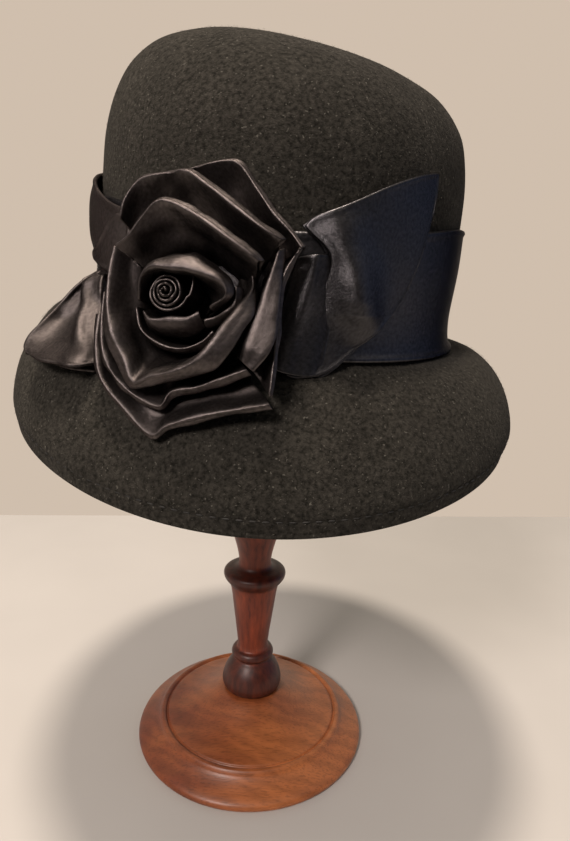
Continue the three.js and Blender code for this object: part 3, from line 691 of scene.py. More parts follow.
# the rings are closer together at the hem, where the channel and the round edge are
outer_rows = np.concatenate([np.linspace(0.12, 13.9, 118), np.linspace(13.97, EDGE_ROW, 34)])
inner_rows = np.concatenate([np.linspace(0.3, 13.7, 50), np.linspace(13.9, EDGE_ROW, 12)])[::-1]
outer_face, inner_face = felt_face(outer_rows, False), felt_face(inner_rows, True)
felt_rings = np.concatenate([outer_face, felt_hem(), inner_face])


POLE_RISE = (0, 0, 0.02)  # the middle of the crown is a hair above the ring round it
crown_top = felt_rings[0].mean(axis=0) + POLE_RISE
crown_inside = felt_rings[-1].mean(axis=0) + POLE_RISE
felt_body = skin("blocked_felt", felt_rings, crown_top, crown_inside)
finish_piece(felt_body, felt, "felt", "felt_body")

# %% [markdown]
# ### Hem stitching
# The hem is held by a row of running stitches a few millimetres above the edge. Each stitch is a
# short bead of thread that lies in the channel it has pulled into the wool. All of them are one
# mesh, which is lighter to draw than a copy of one bead for each stitch.

# %% Hem stitching
STITCH_PITCH = 4.4
STITCH_LENGTH = 2.6
STITCH_RADIUS = 0.34
STITCH_RINGS = 6
STITCH_SIDES = 6
STITCH_LIFT = 0.05 - CHANNEL_DEPTH  # the thread lies just off the floor of its channel


def beads(name, starts, ends, outwards, radius):
    """Short round-ended threads from starts to ends, as one mesh."""
    shares = np.linspace(0, 1, STITCH_RINGS)
    swell = np.sqrt(np.clip(1 - (2 * shares - 1) ** 4, 0.02, 1))
    axis = ends - starts
    side = unit(np.cross(axis, outwards))
    up = unit(np.cross(side, axis))
    points, faces = [], []
    ring_turns = np.arange(STITCH_SIDES) * math.tau / STITCH_SIDES
    for k in range(len(starts)):
        base = k * STITCH_RINGS * STITCH_SIDES
        for share, girth in zip(shares, swell):
            centre = starts[k] + axis[k] * share
            for turn in ring_turns:
                offset = side[k] * math.cos(turn) + up[k] * math.sin(turn)
                points.append(centre + offset * girth * radius)
        for ring in range(STITCH_RINGS - 1):
            for n in range(STITCH_SIDES):
                here = base + ring * STITCH_SIDES
                above = here + STITCH_SIDES
                after = (n + 1) % STITCH_SIDES
                faces.append((here + n, here + after, above + after, above + n))
        faces.append(tuple(base + n for n in reversed(range(STITCH_SIDES))))
        tail = base + (STITCH_RINGS - 1) * STITCH_SIDES
        faces.append(tuple(tail + n for n in range(STITCH_SIDES)))
    return add_object(name, points, faces)


fine_angles = np.linspace(0, 360, 1441)  # every quarter of a degree
stitch_line = off_felt(fine_angles, STITCH_ROW, STITCH_LIFT)
run = np.concatenate([[0], np.cumsum(np.linalg.norm(np.diff(stitch_line, axis=0), axis=1))])
stitch_count = round(run[-1] / STITCH_PITCH)
stitch_starts = np.arange(stitch_count) * run[-1] / stitch_count
start_angles = np.interp(stitch_starts, run, fine_angles)
end_angles = np.interp(stitch_starts + STITCH_LENGTH, run, fine_angles)
outward = off_felt(start_angles, STITCH_ROW, 1.0) - off_felt(start_angles, STITCH_ROW, 0.0)
stitches = beads(
    "hem_stitches",
    off_felt(start_angles, STITCH_ROW, STITCH_LIFT),
    off_felt(end_angles, STITCH_ROW, STITCH_LIFT),
    outward,
    STITCH_RADIUS,
)
finish_piece(stitches, thread, "felt")
print("hem stitches:", stitch_count, "round", round(run[-1]), "mm of hem")

# %% [markdown]
# ### Loose wool
# Felt always has hairs that never locked in. A few are pale and lie on the surface like lint, and
# many short dark ones stand off it and soften its outline. A hair system would do it, but the
# hairs must be real mesh in the end, so each is built as a thin three-sided sliver.

# %% Loose wool
TRIES = 6  # random places drawn for each one that is kept
TOP_ROW = 0.3  # no hair roots nearer to the middle of the crown
SLIVER_CORNERS = (0.5, 2.6, 4.7)  # turns of a hair's three corners, in radians


def felt_places(count, seed):
    """Random places spread evenly over the felt's outer face, as angles and rows."""
    draw = np.random.default_rng(seed)
    rows = draw.uniform(TOP_ROW, EDGE_ROW, count * TRIES)
    angles = draw.uniform(0, 360, count * TRIES)
    around = np.linalg.norm(on_felt(angles + 1, rows) - on_felt(angles - 1, rows), axis=1)
    down = np.linalg.norm(on_felt(angles, rows + 0.02) - on_felt(angles, rows - 0.02), axis=1)
    area = around * down
    kept = np.flatnonzero(draw.uniform(0, area.max(), len(area)) < area)[:count]
    return angles[kept], rows[kept]


def slivers(name, count, seed, length, radius, rise):
    """Bent hairs on the felt, each a sliver with a point at both ends."""
    angles, rows = felt_places(count, seed)
    draw = np.random.default_rng(seed + 1)
    root = off_felt(angles, rows, 0.02)
    up = unit(off_felt(angles, rows, 1.0) - off_felt(angles, rows, 0.0))
    random_way = draw.normal(size=root.shape)
    lie = unit(random_way - up * (random_way * up).sum(axis=1, keepdims=True))
    across = np.cross(up, lie)
    span = (length * draw.uniform(0.4, 1.3, len(root)))[:, None]
    lift = (rise * draw.uniform(0.1, 1.0, len(root)) ** 2)[:, None]
    bend = draw.uniform(-0.25, 0.25, len(root))[:, None] * span
    tip = root + lie * span + up * lift
    waist = root + lie * span * 0.5 + up * (lift * 0.6 + 0.05) + across * bend
    ring = [waist + radius * (up * math.sin(t) + across * math.cos(t)) for t in SLIVER_CORNERS]
    points = np.stack([root, *ring, tip], axis=1).reshape(-1, 3)
    shape = [(0, 2, 1), (0, 3, 2), (0, 1, 3), (4, 1, 2), (4, 2, 3), (4, 3, 1)]
    faces = [tuple(5 * k + n for n in face) for k in range(len(root)) for face in shape]
    return add_object(name, points, faces)


# how many, seed, length, radius and rise
PALE_WOOL = (2600, 11, 1.1, 0.07, 0.3)
DARK_WOOL = (16000, 21, 1.2, 0.035, 0.7)
finish_piece(slivers("pale_wool_hairs", *PALE_WOOL), pale_hair, "felt")
finish_piece(slivers("dark_wool_hairs", *DARK_WOOL), dark_hair, "felt")

# %% [markdown]
# ## Band and its folds
# The band is stiffened satin that wraps the crown just above the crease. On the left it is folded
# up into a puffed side fold and a small pleat before it goes under the rose. A shrink-wrapped
# ribbon would sink into every dent of the felt. So each is a strip between two height lines
# instead, and the strip's lift says how far it stands off the felt.


# %% Strips over the felt
def strip(rows, count, across, loop=False):
    """A strip of count by across faces; rows hold angle, top, bottom and three lifts."""
    places = np.linspace(0, len(rows) - 1, count + 1)
    if loop:
        places = places[:-1]
    row = along(rows, places)[:, :, None]
    angle, top, bottom, top_lift, belly, bottom_lift = (row[:, k] for k in range(6))
    share = np.linspace(0, 1, across + 1)
    height = top + (bottom - top) * share
    edge = top_lift + (bottom_lift - top_lift) * share
    lift = edge + (belly - (top_lift + bottom_lift) / 2) * 4 * share * (1 - share)
    return off_felt(angle, row_at(height), lift)


def wrinkle(middle, seed, size, depth, fade):
    """Moves a grid along its normals in soft waves; fade keeps the two long edges still."""
    share = np.linspace(0, 1, middle.shape[1])
    calm = np.clip(np.minimum(share, 1 - share) / fade, 0, 1)
    height = ripple(middle, seed, size, depth) * calm
    return middle + grid_normals(middle) * height[..., None]


print("strips can lie at heights from", round(fine_heights[0]), "to", round(fine_heights[-1]), "mm")


# %% Band, side fold and pleat
BAND_WALL = 1.5
SATIN_WALL = 1.0
BAND_LIFT = 1.2
BAND_BELLY = 0.25
# angle, top and bottom
BAND_PLACES = [
    (-90, 277.5, 236), (-60, 281, 236), (-30, 287, 236), (0, 289, 237), (30, 290, 238),
    (60, 290, 238), (90, 290, 238), (120, 290, 238), (150, 290, 238), (180, 289, 238),
    (210, 287, 237), (240, 281, 236), (270, 277.5, 236),
]
BAND_ROWS = [(*row, BAND_LIFT, BAND_LIFT + BAND_BELLY, BAND_LIFT) for row in BAND_PLACES]
# angle, top, bottom, and lifts at the top, the belly and the bottom
SIDE_FOLD_ROWS = [
    (-208, 298, 262, 2.9, 3.4, 2.9),
    (-185, 302, 263, 2.9, 4.4, 3),
    (-174, 300, 264, 3, 5.4, 3),
    (-163, 296, 264, 3.4, 5.6, 3),
    (-151, 290, 262, 3.6, 5.2, 3),
    (-139, 284, 252, 3.4, 4.4, 3),
    (-126, 280, 250, 3.2, 3.6, 3),
]
PLEAT_ROWS = [
    (-145, 264.5, 261.5, 6.4, 6.4, 6),
    (-139, 270, 259.5, 7, 7, 6.4),
    (-133, 279, 258, 6.4, 7, 6.4),
    (-127, 278, 257, 5.6, 6.2, 6),
]

band = cloth("hat_band", strip(BAND_ROWS, 240, 34, loop=True), BAND_WALL, fold=0.9, loop=True)
finish_piece(band, band_satin, "band_satin", "satin_band")

side_strip = strip(SIDE_FOLD_ROWS, 96, 24)
side_middle = wrinkle(side_strip, seed=31, size=22, depth=0.25, fade=0.2)
side_fold = cloth("side_fold", side_middle, SATIN_WALL, fold=1.0)
finish_piece(side_fold, rose_satin, "rose_satin", "band_side_fold")

pleat = cloth("side_pleat", strip(PLEAT_ROWS, 60, 30), SATIN_WALL, fold=1.2)
finish_piece(pleat, rose_satin, "rose_satin", "band_pleat")

# %% [markdown]
# ## The wing
# A wide piece of satin is folded double along its top edge and swept back over the band like a
# wing. Its rows cross it on a slant from the top edge to the foot, which leaves the felt just
# above the crease and hangs free. A soft pleat stands in front of the wing beside the rose. The
# satin is stiff and pressed, so its folds are placed one by one. A cloth simulation would let them
# sag.


# %% Slanted sheets over the felt
HANG_FROM = 241  # the height below which a hanging sheet no longer follows the felt
HANG_SLOPE = 0.22  # how far it then leans out for each millimetre down
DOUBLED_WALL = 0.8
SINGLE_WALL = 0.6


def grid_through(rows, count, across):
    """A smooth grid of count by across faces through rows whose places are three numbers each."""
    row = along(rows, np.linspace(0, len(rows) - 1, count + 1)).reshape(count + 1, -1, 3)
    share = np.linspace(0, row.shape[1] - 1, across + 1)
    return np.stack([along(section, share) for section in row])


def slanted(rows, count, across, ridge=None, hangs=False):
    """A sheet whose rows cross it at a few places, each an angle, a height and a lift."""
    angle, height, lift = np.moveaxis(grid_through(rows, count, across), -1, 0)
    if ridge is not None:
        heights, angles, rises = np.array(ridge, float).T
        away = angle - np.interp(height, heights, angles)
        reach = np.where(away < 0, *RIDGE_REACH)
        lift = lift + np.interp(height, heights, rises) * np.exp(-((away / reach) ** 2))
    if not hangs:
        return off_felt(angle, row_at(height), lift)
    drop = np.maximum(HANG_FROM - height, 0)
    turn = np.radians(angle)
    lean_out = [HANG_SLOPE * np.cos(turn), HANG_SLOPE * np.sin(turn)]
    fall = np.stack([*lean_out, -np.ones_like(turn)], axis=-1)
    return off_felt(angle, row_at(height + drop), lift) + fall * drop[..., None]


# each row runs down the wing from its top edge; every three numbers are angle, height and lift
WING_ROWS = [
    (-83.5, 281, 4.2, -77.4, 271.6, 4.4, -79, 254, 4.4, -81.5, 241.5, 4.8, -84.8, 230, 4.8),
    (-81.5, 284, 4.5, -75.6, 272.2, 4.8, -77, 254, 4.8, -79, 241.5, 5, -82, 229.6, 4.9),
    (-76, 288, 4.7, -71.8, 272.4, 5, -73, 256, 5, -74.6, 243.5, 5, -76.6, 231.6, 5),
    (-71, 291.8, 4.5, -67.7, 275, 4.9, -68, 260, 4.9, -69, 248.5, 4.9, -70.4, 238.6, 4.8),
    (-65, 296.4, 4.2, -62.7, 281, 4.6, -62.8, 268, 4.7, -63.4, 257, 4.7, -64, 247.3, 4.4),
    (-59, 300.2, 3.8, -57.6, 288, 4.2, -57.5, 277, 4.4, -57.6, 266.5, 4.4, -57.8, 257.3, 4.4),
    (-54, 302.8, 3.4, -53.1, 294.5, 3.7, -52.8, 286, 3.9, -53.2, 277.6, 4.1, -53.8, 270, 4.2),
    (-48.4, 304.8, 2.9, -48.5, 301.3, 3.1, -48.8, 297.4, 3.3, -49.4, 293.3, 3.5, -50, 289.5, 3.6),
]
# height, angle and rise of the soft ridge that runs down from the wing's front corner
WING_RIDGE = [
    (240, -66, 0), (247, -68, 3), (253, -70, 6), (258, -71, 6.5), (264, -72, 6),
    (270, -73, 4.5), (276, -75, 3), (282, -76, 2), (288, -78, 1),
]
RIDGE_REACH = (4.2, 6.5)  # how far it spreads, in degrees, to its left and to its right
UNDER_LAYER_DROP = 1.15  # how far it lies behind the layer on top
UNDER_LAYER_SHOWS = (0.6, 0.2, 1.2)  # degrees past the left end, past the tip, and mm below
WING_PLEAT_ROWS = [
    (-84.6, 270.4, 4.6, -86.2, 258, 4.8, -88, 244, 4.8, -89.6, 233, 4.8),
    (-82.9, 271.2, 6.4, -84.3, 258, 6.6, -86, 244, 6.4, -87.8, 232, 6.2),
    (-81.2, 271.8, 7.6, -82.2, 258, 7.9, -84, 244, 7.4, -86, 231, 6.9),
    (-79.8, 272, 6.5, -80.2, 258, 6.5, -81.5, 244, 6.4, -83.5, 230.4, 6.2),
    (-78, 272, 5.4, -77.8, 258, 5.35, -78.6, 244, 5.6, -80.6, 230.2, 5.5),
    (-75.8, 270, 4.7, -75.2, 257, 4.7, -76, 243, 4.9, -77.6, 231.2, 4.7),
]


def under_rows(rows):
    """The wing's second layer: a little lower, and showing past three of its edges."""
    past_left, past_tip, below = UNDER_LAYER_SHOWS
    lower = np.array(rows, float)
    lower[:, 2::3] -= UNDER_LAYER_DROP
    lower[:, -2] -= below
    lower[0, 0::3] -= past_left
    lower[-1, 0::3] += past_tip
    return lower


wing_sheet = slanted(WING_ROWS, 120, 70, WING_RIDGE, hangs=True)
wing_middle = wrinkle(wing_sheet, seed=41, size=34, depth=0.3, fade=0.1)
wing = cloth("satin_wing_fold", wing_middle, DOUBLED_WALL, fold=0.8)
finish_piece(wing, band_satin, "band_satin", "satin_wing")

under_middle = slanted(under_rows(WING_ROWS), 96, 48, hangs=True)
wing_under = cloth("satin_wing_under", under_middle, SINGLE_WALL, fold=0.6)
finish_piece(wing_under, band_satin, "band_satin", "satin_wing")

pleat_middle = slanted(WING_PLEAT_ROWS, 60, 60, hangs=True)
wing_pleat = cloth("wing_front_pleat", pleat_middle, DOUBLED_WALL, fold=0.5)
finish_piece(wing_pleat, band_satin, "band_satin", "wing_pleat")

# %% [markdown]
# ## The leaf on the brim
# A doubled piece of satin is folded into a leaf: a raised fold runs down beside the rose, and left
# of it the satin lies in a shallow hollow with a round end. A second layer shows under its end. The
# leaf stands free of the felt, so its rows are points in space and don't follow the brim.

# %% The leaf and its under layer
# each row runs over the outer edge, the hollow, the foot of the fold, its crest, its face and
# the edge next to the rose; every three numbers are a point in millimetres
LEAF_ROWS = [
    (-66, -55, 262, -65, -56, 262, -64, -56, 262, -63, -58, 262, -61, -60, 262, -58, -62, 262),
    (-70, -64, 258, -70, -64, 258, -69, -64, 258, -67, -68, 259, -64, -69, 260, -60, -71, 260),
    (-74, -66, 254, -73, -65, 253, -70, -65, 254, -68, -71, 255, -64, -72, 255, -60, -74, 255),
    (-78, -68, 249, -75, -68, 248, -70, -68, 249, -67, -75, 250, -64, -76, 250, -60, -75, 250),
    (-81, -71, 245, -77, -70, 243, -70, -73, 244, -67, -81, 245, -63, -82, 244, -59, -80, 245),
    (-84, -75, 241, -78, -75, 239, -70, -79, 240, -66, -87, 240, -62, -88, 239, -59, -85, 240),
    (-87, -78, 237, -78, -80, 236, -70, -86, 236, -65, -93, 235, -60, -95, 235, -57, -91, 235),
    (-88, -81, 233, -79, -88, 232, -70, -94, 232, -65, -99, 232, -60, -100, 232, -56, -96, 232),
    (-86, -84, 231, -78, -93, 230, -69, -98, 230, -64, -103, 230, -60, -102, 230, -55, -98, 231),
]
# the under layer lies on the brim: angle, height and lift again
LEAF_LOWER_ROWS = [
    (-149, 222, 1.2, -143, 224.5, 1.2, -137, 227, 1.2, -130, 229, 1.2),
    (-148, 215.5, 1.2, -141, 218.5, 1.2, -134, 222, 1.2, -127, 224, 1.2),
    (-145, 212, 1.3, -138, 214.2, 1.3, -131, 216, 1.3, -124, 219, 1.2),
]

leaf_sheet = grid_through(LEAF_ROWS, 110, 70)
leaf_middle = wrinkle(leaf_sheet, seed=43, size=13, depth=0.22, fade=0.15)
leaf = cloth("brim_leaf_fold", leaf_middle, DOUBLED_WALL, fold=0.8)
finish_piece(leaf, leaf_satin, "rose_satin", "brim_leaf")

lower_middle = slanted(LEAF_LOWER_ROWS, 36, 48)
leaf_lower = cloth("brim_leaf_under", lower_middle, DOUBLED_WALL, fold=0.8)
finish_piece(leaf_lower, leaf_satin, "rose_satin", "brim_leaf_lower")

# %% [markdown]
# ## The ribbon rose
# The rose is one wide ribbon, folded double along its length and wound round a tight coil. The
# folded edge looks out, leans over and rolls back, and the raw edges are gathered and sewn to the
# band behind. So each turn of it is modelled as a real ribbon: up from the band, over the soft
# fold at the rim and back down behind, hollow inside, and open where a roll ends.

# %% The rose's own frame
ROSE_PLACE = np.array((-22.0, -97.0, 256.0))
ROSE_OUT = unit(np.array((-0.2, -0.95, 0.24)))
ROSE_ACROSS = unit(np.cross((0, 0, 1), ROSE_OUT))
ROSE_UP = np.cross(ROSE_OUT, ROSE_ACROSS)
ROSE_AXES = np.array([ROSE_ACROSS, ROSE_UP, ROSE_OUT])
SEAT_LIFT = BAND_LIFT + BAND_WALL / 2 + GAP
GATHER = 0.9  # the raw edges are drawn in to this share of their way from the middle
PETAL_SAG = 1.2  # how far the middle of each inner face sags back
FARTHEST_SEAT = 30.0  # how far behind a petal the band is looked for
HALVINGS = 24  # how many times that way is halved to find it


def on_rose(places):
    """Places in the rose's frame (across, up, out) as points of the hat."""
    return ROSE_PLACE + np.asarray(places) @ ROSE_AXES


def seat_on_band(points):
    """Where lines straight back from points of the rose come to rest on the band."""
    near = np.zeros(points.shape[:-1])
    far = near + FARTHEST_SEAT
    for _ in range(HALVINGS):
        middle = (near + far) / 2
        place = points - ROSE_OUT * middle[..., None]
        width, depth, shift = np.moveaxis(along(FELT_ROWS, row_at(place[..., 2])), -1, 0)[:3]
        across = (place[..., 0] - shift) / (width + SEAT_LIFT)
        inside = across**2 + (place[..., 1] / (depth + SEAT_LIFT)) ** 2 < 1
        near, far = np.where(inside, near, middle), np.where(inside, middle, far)
    return points - ROSE_OUT * near[..., None]


print("the rose looks along", ROSE_OUT.round(2))


# %% The coil in the middle
COIL_CENTRE = np.array((0.0, -3.0))
COIL_ROOT = 7.0
# turns from the middle, radius, height of the rim
COIL_ROWS = [
    (0, 0.6, 22.2),
    (1, 2.0, 21.6),
    (2, 3.4, 21),
    (3, 4.8, 20.4),
    (3.85, 6.1, 19.6),
    (4.0, 7.6, 18.8),
    (4.12, 9.8, 18),
    (4.22, 11.5, 17),
]


# height in millimetres, waves in a turn and start of two waves along the coil's rim
RIM_WAVES = [(0.40, 1.7, 0.5), (0.25, 4.3, 0.0)]


def coil_grid(count=300, across=14):
    """The ribbon of the coil, from its root to its uneven rim."""
    rows = along(COIL_ROWS, np.linspace(0, len(COIL_ROWS) - 1, count))
    turn, radius, rim = np.moveaxis(rows, -1, 0)
    angle = turn * math.tau
    uneven = sum(tall * np.sin(angle * often + start) for tall, often, start in RIM_WAVES)
    x = COIL_CENTRE[0] + radius * np.cos(angle)
    y = COIL_CENTRE[1] + radius * np.sin(angle)
    depth = np.linspace(0, 1, across + 1)
    out = COIL_ROOT + (rim + uneven - COIL_ROOT)[:, None] * depth
    flat = np.zeros_like(out)
    return on_rose(np.stack([x[:, None] + flat, y[:, None] + flat, out], axis=-1))


COIL_WALL = 0.75
coil = cloth("rose_coil", coil_grid(), COIL_WALL, fold=0.25, fold_reach=1.0)
finish_piece(coil, rose_satin, "rose_satin", "rose_core")


# %% A petal of doubled ribbon
RIBBON_WALL = 0.55
LAYERS_APART = 0.9
BELLY_FULLNESS = 0.4  # how much wider the gap between the layers is at their belly
SECTIONS_PER_ROW = 9
CROWN_SHARE = (0.55, 0.55, 0.15)  # where the top of the roll is on the way from rim to lip
TUCK = 0.45  # the outer layer starts at this share of the way from rim to belly,
BULGE = 2.0  # and this far behind it


def petal_sections(rows, roll):
    """Control points of each section: up the inner face, over the rim and down behind."""
    row = along(rows, np.linspace(0, len(rows) - 1, (len(rows) - 1) * SECTIONS_PER_ROW + 1))
    root, rim = on_rose(row[:, 0:3]), on_rose(row[:, 3:6])
    lip = on_rose(row[:, 3:6] + (row[:, 6:9] - row[:, 3:6]) * roll)
    crown = on_rose(row[:, 3:6] + (row[:, 6:9] - row[:, 3:6]) * roll * CROWN_SHARE)
    gathered = row[:, 0:3] * (GATHER, GATHER, 1)
    seat = seat_on_band(on_rose(gathered))
    belly = (root + rim) / 2 - ROSE_OUT * PETAL_SAG
    rise = unit(rim - root)
    behind = lip - rim
    behind = unit(behind - rise * (behind * rise).sum(axis=1, keepdims=True))
    under = rim + (belly - rim) * TUCK + behind * BULGE * roll
    outer_belly = belly + behind * (LAYERS_APART + BELLY_FULLNESS)
    outer_root = root + behind * LAYERS_APART
    outer_seat = seat + behind * LAYERS_APART
    inner_layer = [seat, root, belly, rim]
    outer_layer = [under, outer_belly, outer_root, outer_seat]
    return np.stack([*inner_layer, crown, lip, *outer_layer], axis=1)


# steps of the mesh between one control point and the next, up to the first point behind
SECTION_STEPS = (2, 5, 8, 6, 6, 6)
FRONT_SHARES = [np.linspace(k, k + 1, n + 1)[:-1] for k, n in enumerate(SECTION_STEPS)]
SECTION_SHARES = np.concatenate([*FRONT_SHARES, np.linspace(6, 9, 9)])
CREASES = (9, 0.30)  # size and depth
# creases fade near the top of the roll: at which control point, how far round it, by what share
STILL_PLACE, STILL_REACH, STILL_SHARE = 3.8, 0.9, 0.75


def petal(name, rows, roll, seed):
    """One length of ribbon, doubled over its rim and creased a little."""
    sections = petal_sections(rows, roll)
    middle = np.stack([along(section, SECTION_SHARES) for section in sections])
    still = np.exp(-(((SECTION_SHARES - STILL_PLACE) / STILL_REACH) ** 2))
    height = ripple(middle, seed, *CREASES) * (1 - STILL_SHARE * still)
    middle = middle + grid_normals(middle) * height[..., None]
    return cloth(name, middle, RIBBON_WALL)


print("each petal has", len(SECTION_SHARES), "points from its seat round to its seat again")


# %% Rows of the petals
# root, rim and lip, each across, up and out in the rose's frame, in millimetres
PETALS = {
    "rose_bud_upper": [
        (-8.5, -7, 9, -9.2, -6, 20, -10.4, -5, 18),
        (-8, -2, 9, -7.8, 0, 23, -9, 1.5, 20),
        (-6.5, 2.5, 9, -4.6, 3.4, 24, -5, 6.5, 20),
        (0, 4.6, 9, 0.8, 3.2, 25, 0.5, 9, 19),
        (5.5, 3.4, 9, 6.6, 3, 25, 8.5, 9.5, 19),
        (9, 1, 9, 13, 2, 24, 14.5, 6.8, 18),
        (11.5, -2, 9, 18, 0.5, 23, 20.5, 2, 19),
        (12, -5.5, 9, 20, -3.5, 22, 22, -3.5, 20),
        (10.5, -8, 9, 15, -7, 20, 15.6, -8.2, 18),
    ],
    "rose_bud_lower": [
        (-6.8, -8.8, 8, -8, -9.4, 18, -8.8, -10.4, 15.5),
        (-4, -11, 8, -5, -11.6, 19, -6.5, -15, 14),
        (1, -11.8, 8, 1.4, -11, 19.4, 1, -16.5, 13),
        (6, -11.4, 8, 7, -10.6, 19, 7, -16, 13),
        (8.5, -10, 8, 10.6, -8.6, 18.4, 12, -12.5, 14),
    ],
    "rose_bud_right": [
        (16, 0, 7, 22, 0, 18, 24, 0, 15),
        (16, -5, 7, 22, -5, 18, 24, -6, 16),
        (15, -9, 7, 20, -8, 19, 22, -9, 16),
        (13, -11, 7, 16, -10, 18, 17, -12, 16),
        (10, -12, 7, 13, -11, 18, 13, -13, 16),
    ],
    "rose_bud_bowl": [
        (-10, -7, 6, -12, -8, 15, -13.2, -8.4, 13.5),
        (-8, -13, 6, -9.2, -15, 16, -10.2, -16, 14.5),
        (-2, -17.5, 6, -2, -19.5, 17, -2.2, -20.8, 15.5),
        (5, -18, 6, 5.5, -20.5, 17, 5.8, -21.8, 15.5),
        (11, -16, 6, 12, -18, 17, 12.8, -19, 15.5),
        (14, -13, 6, 15.5, -14.5, 17, 16.4, -15.4, 15.5),
    ],
    "rose_petal_right_inner": [
        (20, 5, 6, 26, 5, 14, 27, 5, 12),
        (20, 0, 6, 27, 0, 16, 28, 0, 14),
        (19, -5, 7, 24, -7, 20, 29, -8, 18),
        (18, -10, 7, 21, -12, 22, 26, -15, 20),
        (15, -16, 7, 17, -19, 24, 22, -23, 21),
        (9, -20, 7, 13, -24, 24, 16, -28, 20),
        (3, -22, 7, 6, -28, 23, 6, -31, 19),
        (-3, -22, 7, -2, -30, 22, -3, -33, 19),
        (-8, -20, 7, -8, -32, 21, -10, -35, 18),
        (-11, -16, 7, -12, -25, 20, -16, -27, 18),
        (-12, -10, 7, -17, -17, 20, -21, -18, 18),
        (-13, -3, 7, -20, -8, 19, -23, -9, 16),
        (-13, 2, 9, -21, 3, 18, -23, 3, 15),
        (-13, 6, 11, -20, 11, 18, -22, 12, 15),
    ],
    "rose_petal_upper_inner": [
        (-11, 5.4, 10, -17.6, 10.7, 22, -19, 11.4, 19.4),
        (-8.5, 8, 10, -13, 13.6, 23, -15, 14.6, 20),
        (-5.5, 10.5, 10, -8.8, 18.6, 24, -10.4, 20.8, 21),
        (-1, 12.5, 10, -3.6, 23.6, 25, -4, 26.4, 21.5),
        (5, 13, 10, 2.4, 23, 25, 3.4, 25.9, 21.5),
        (12, 11.5, 10, 10.8, 19, 25, 12.4, 21.9, 21.5),
        (19, 7.5, 10, 20.2, 13.2, 25, 22, 16, 21.5),
        (24, 3.5, 10, 27, 9, 24, 29, 11.4, 21),
        (26, 2, 10, 29.8, 7.2, 22.5, 31.8, 8.2, 20),
    ],
    "rose_petal_upper_middle": [
        (-18.4, 17.8, 9, -19.8, 21.2, 17, -21, 21.8, 14.4),
        (-14, 20, 8, -18, 27, 18, -19.8, 28, 15),
        (-9, 24, 8, -13, 33, 18.5, -14.6, 35, 15.5),
        (-3, 26.4, 8, -5, 34.6, 19.5, -5.4, 37.2, 16),
        (4, 26, 8, 2.8, 35.4, 20, 3.8, 38, 16.5),
        (12, 21.5, 8, 9.8, 31.2, 21, 11.6, 34.1, 17),
        (20, 15, 8, 19, 25, 21, 21, 27.7, 17),
        (26, 11, 8, 29.6, 17.8, 21, 31.6, 20.3, 17),
        (28.5, 10, 8, 35.4, 15, 19, 37.4, 16.5, 15.5),
    ],
    "rose_petal_upper_outer": [
        (3, 34, 6, 0.4, 38.8, 12.6, 0, 39.8, 11.4),
        (8, 32.4, 5, 5, 40, 13, 4.8, 41.2, 11.6),
        (13, 31, 4, 13.2, 41.4, 13.4, 13.6, 42.8, 11.6),
        (17, 28, 4, 18.2, 40.4, 13, 19.4, 41.6, 11.2),
        (22, 24, 4, 24, 33.6, 12.4, 25.4, 34.4, 10.8),
        (27, 20, 4, 30.2, 26, 12.2, 31.4, 26.6, 10.8),
        (31.5, 15.5, 4, 36.4, 20, 12, 37.6, 20.8, 10.8),
        (34.5, 12, 5, 41, 14.8, 12, 42, 15.4, 10.8),
    ],
    "rose_petal_right_middle": [
        (29, 6, 7, 34, 12, 15, 36, 14, 12),
        (28, 1, 7, 32, 3, 16, 36, 3, 14),
        (26, -6, 7, 30, -6, 17, 36, -7, 15),
        (24, -12, 7, 28, -13, 18, 36, -15, 16),
        (22, -17, 7, 27, -19, 19, 34, -21, 17),
        (20, -20, 7, 26, -23, 18, 30, -26, 17),
    ],
    "rose_petal_lower_middle": [
        (20, -22, 6, 27, -25.5, 15, 28.8, -27.6, 12.5),
        (14.5, -25, 6, 18.5, -29.5, 16, 19.4, -32, 13),
        (8.5, -27, 6, 11, -32.5, 16, 11.4, -35, 13),
        (2, -28, 6.4, 3, -34.5, 16, 3, -37.2, 13.5),
        (-3, -28.5, 6.6, -1, -39.5, 16, -1.6, -41.6, 13.8),
        (-9, -28, 6.4, -11, -36, 15.5, -12.8, -37.6, 13.4),
        (-14, -24, 6, -18.5, -30, 15, -20.6, -31, 12.5),
        (-17, -18, 5, -23, -23, 14, -25.4, -23.6, 11.5),
        (-18.5, -10, 4, -25, -13, 13, -27.4, -13.2, 10.4),
        (-18.5, -3, 4, -25.5, -3, 12, -27.6, -3, 9.4),
    ],
    "rose_petal_right_outer": [
        (33.6, 9, 5, 40.4, 14, 12.5, 42.2, 15, 10.5),
        (31.4, 2, 4, 36.4, 6, 12.5, 38.8, 6.4, 10),
        (30, -6, 4, 35, -3, 12.5, 37.8, -3, 10),
        (29, -14, 4.4, 35.2, -14, 12.5, 38, -14.2, 10),
        (28, -20, 5, 35.2, -24, 12.5, 37.4, -24.6, 10),
        (27, -25, 6, 35, -33, 13, 36.6, -34.4, 11),
    ],
    "rose_petal_lower_outer": [
        (27, -29, 6.4, 35, -36, 13, 36, -37.6, 11.4),
        (20, -31.5, 7.4, 25, -38.5, 15, 25.2, -40.4, 13),
        (12, -33, 8, 14, -41.5, 16, 14.2, -43.4, 14),
        (4, -36, 8.8, 3, -45.5, 16.4, 2.8, -47.4, 14.6),
        (-3, -38.5, 9.6, -3, -49, 16, -3.6, -50.6, 14.4),
        (-11, -35, 8.4, -14, -41, 14.6, -15.6, -42, 12.8),
        (-19, -28, 5.4, -23.5, -32, 13, -25.4, -32.8, 11),
        (-23, -19, 4, -27.5, -21, 11, -29.6, -21.2, 9),
        (-24, -10, 3, -28.5, -10, 9, -30.4, -10, 7),
    ],
}

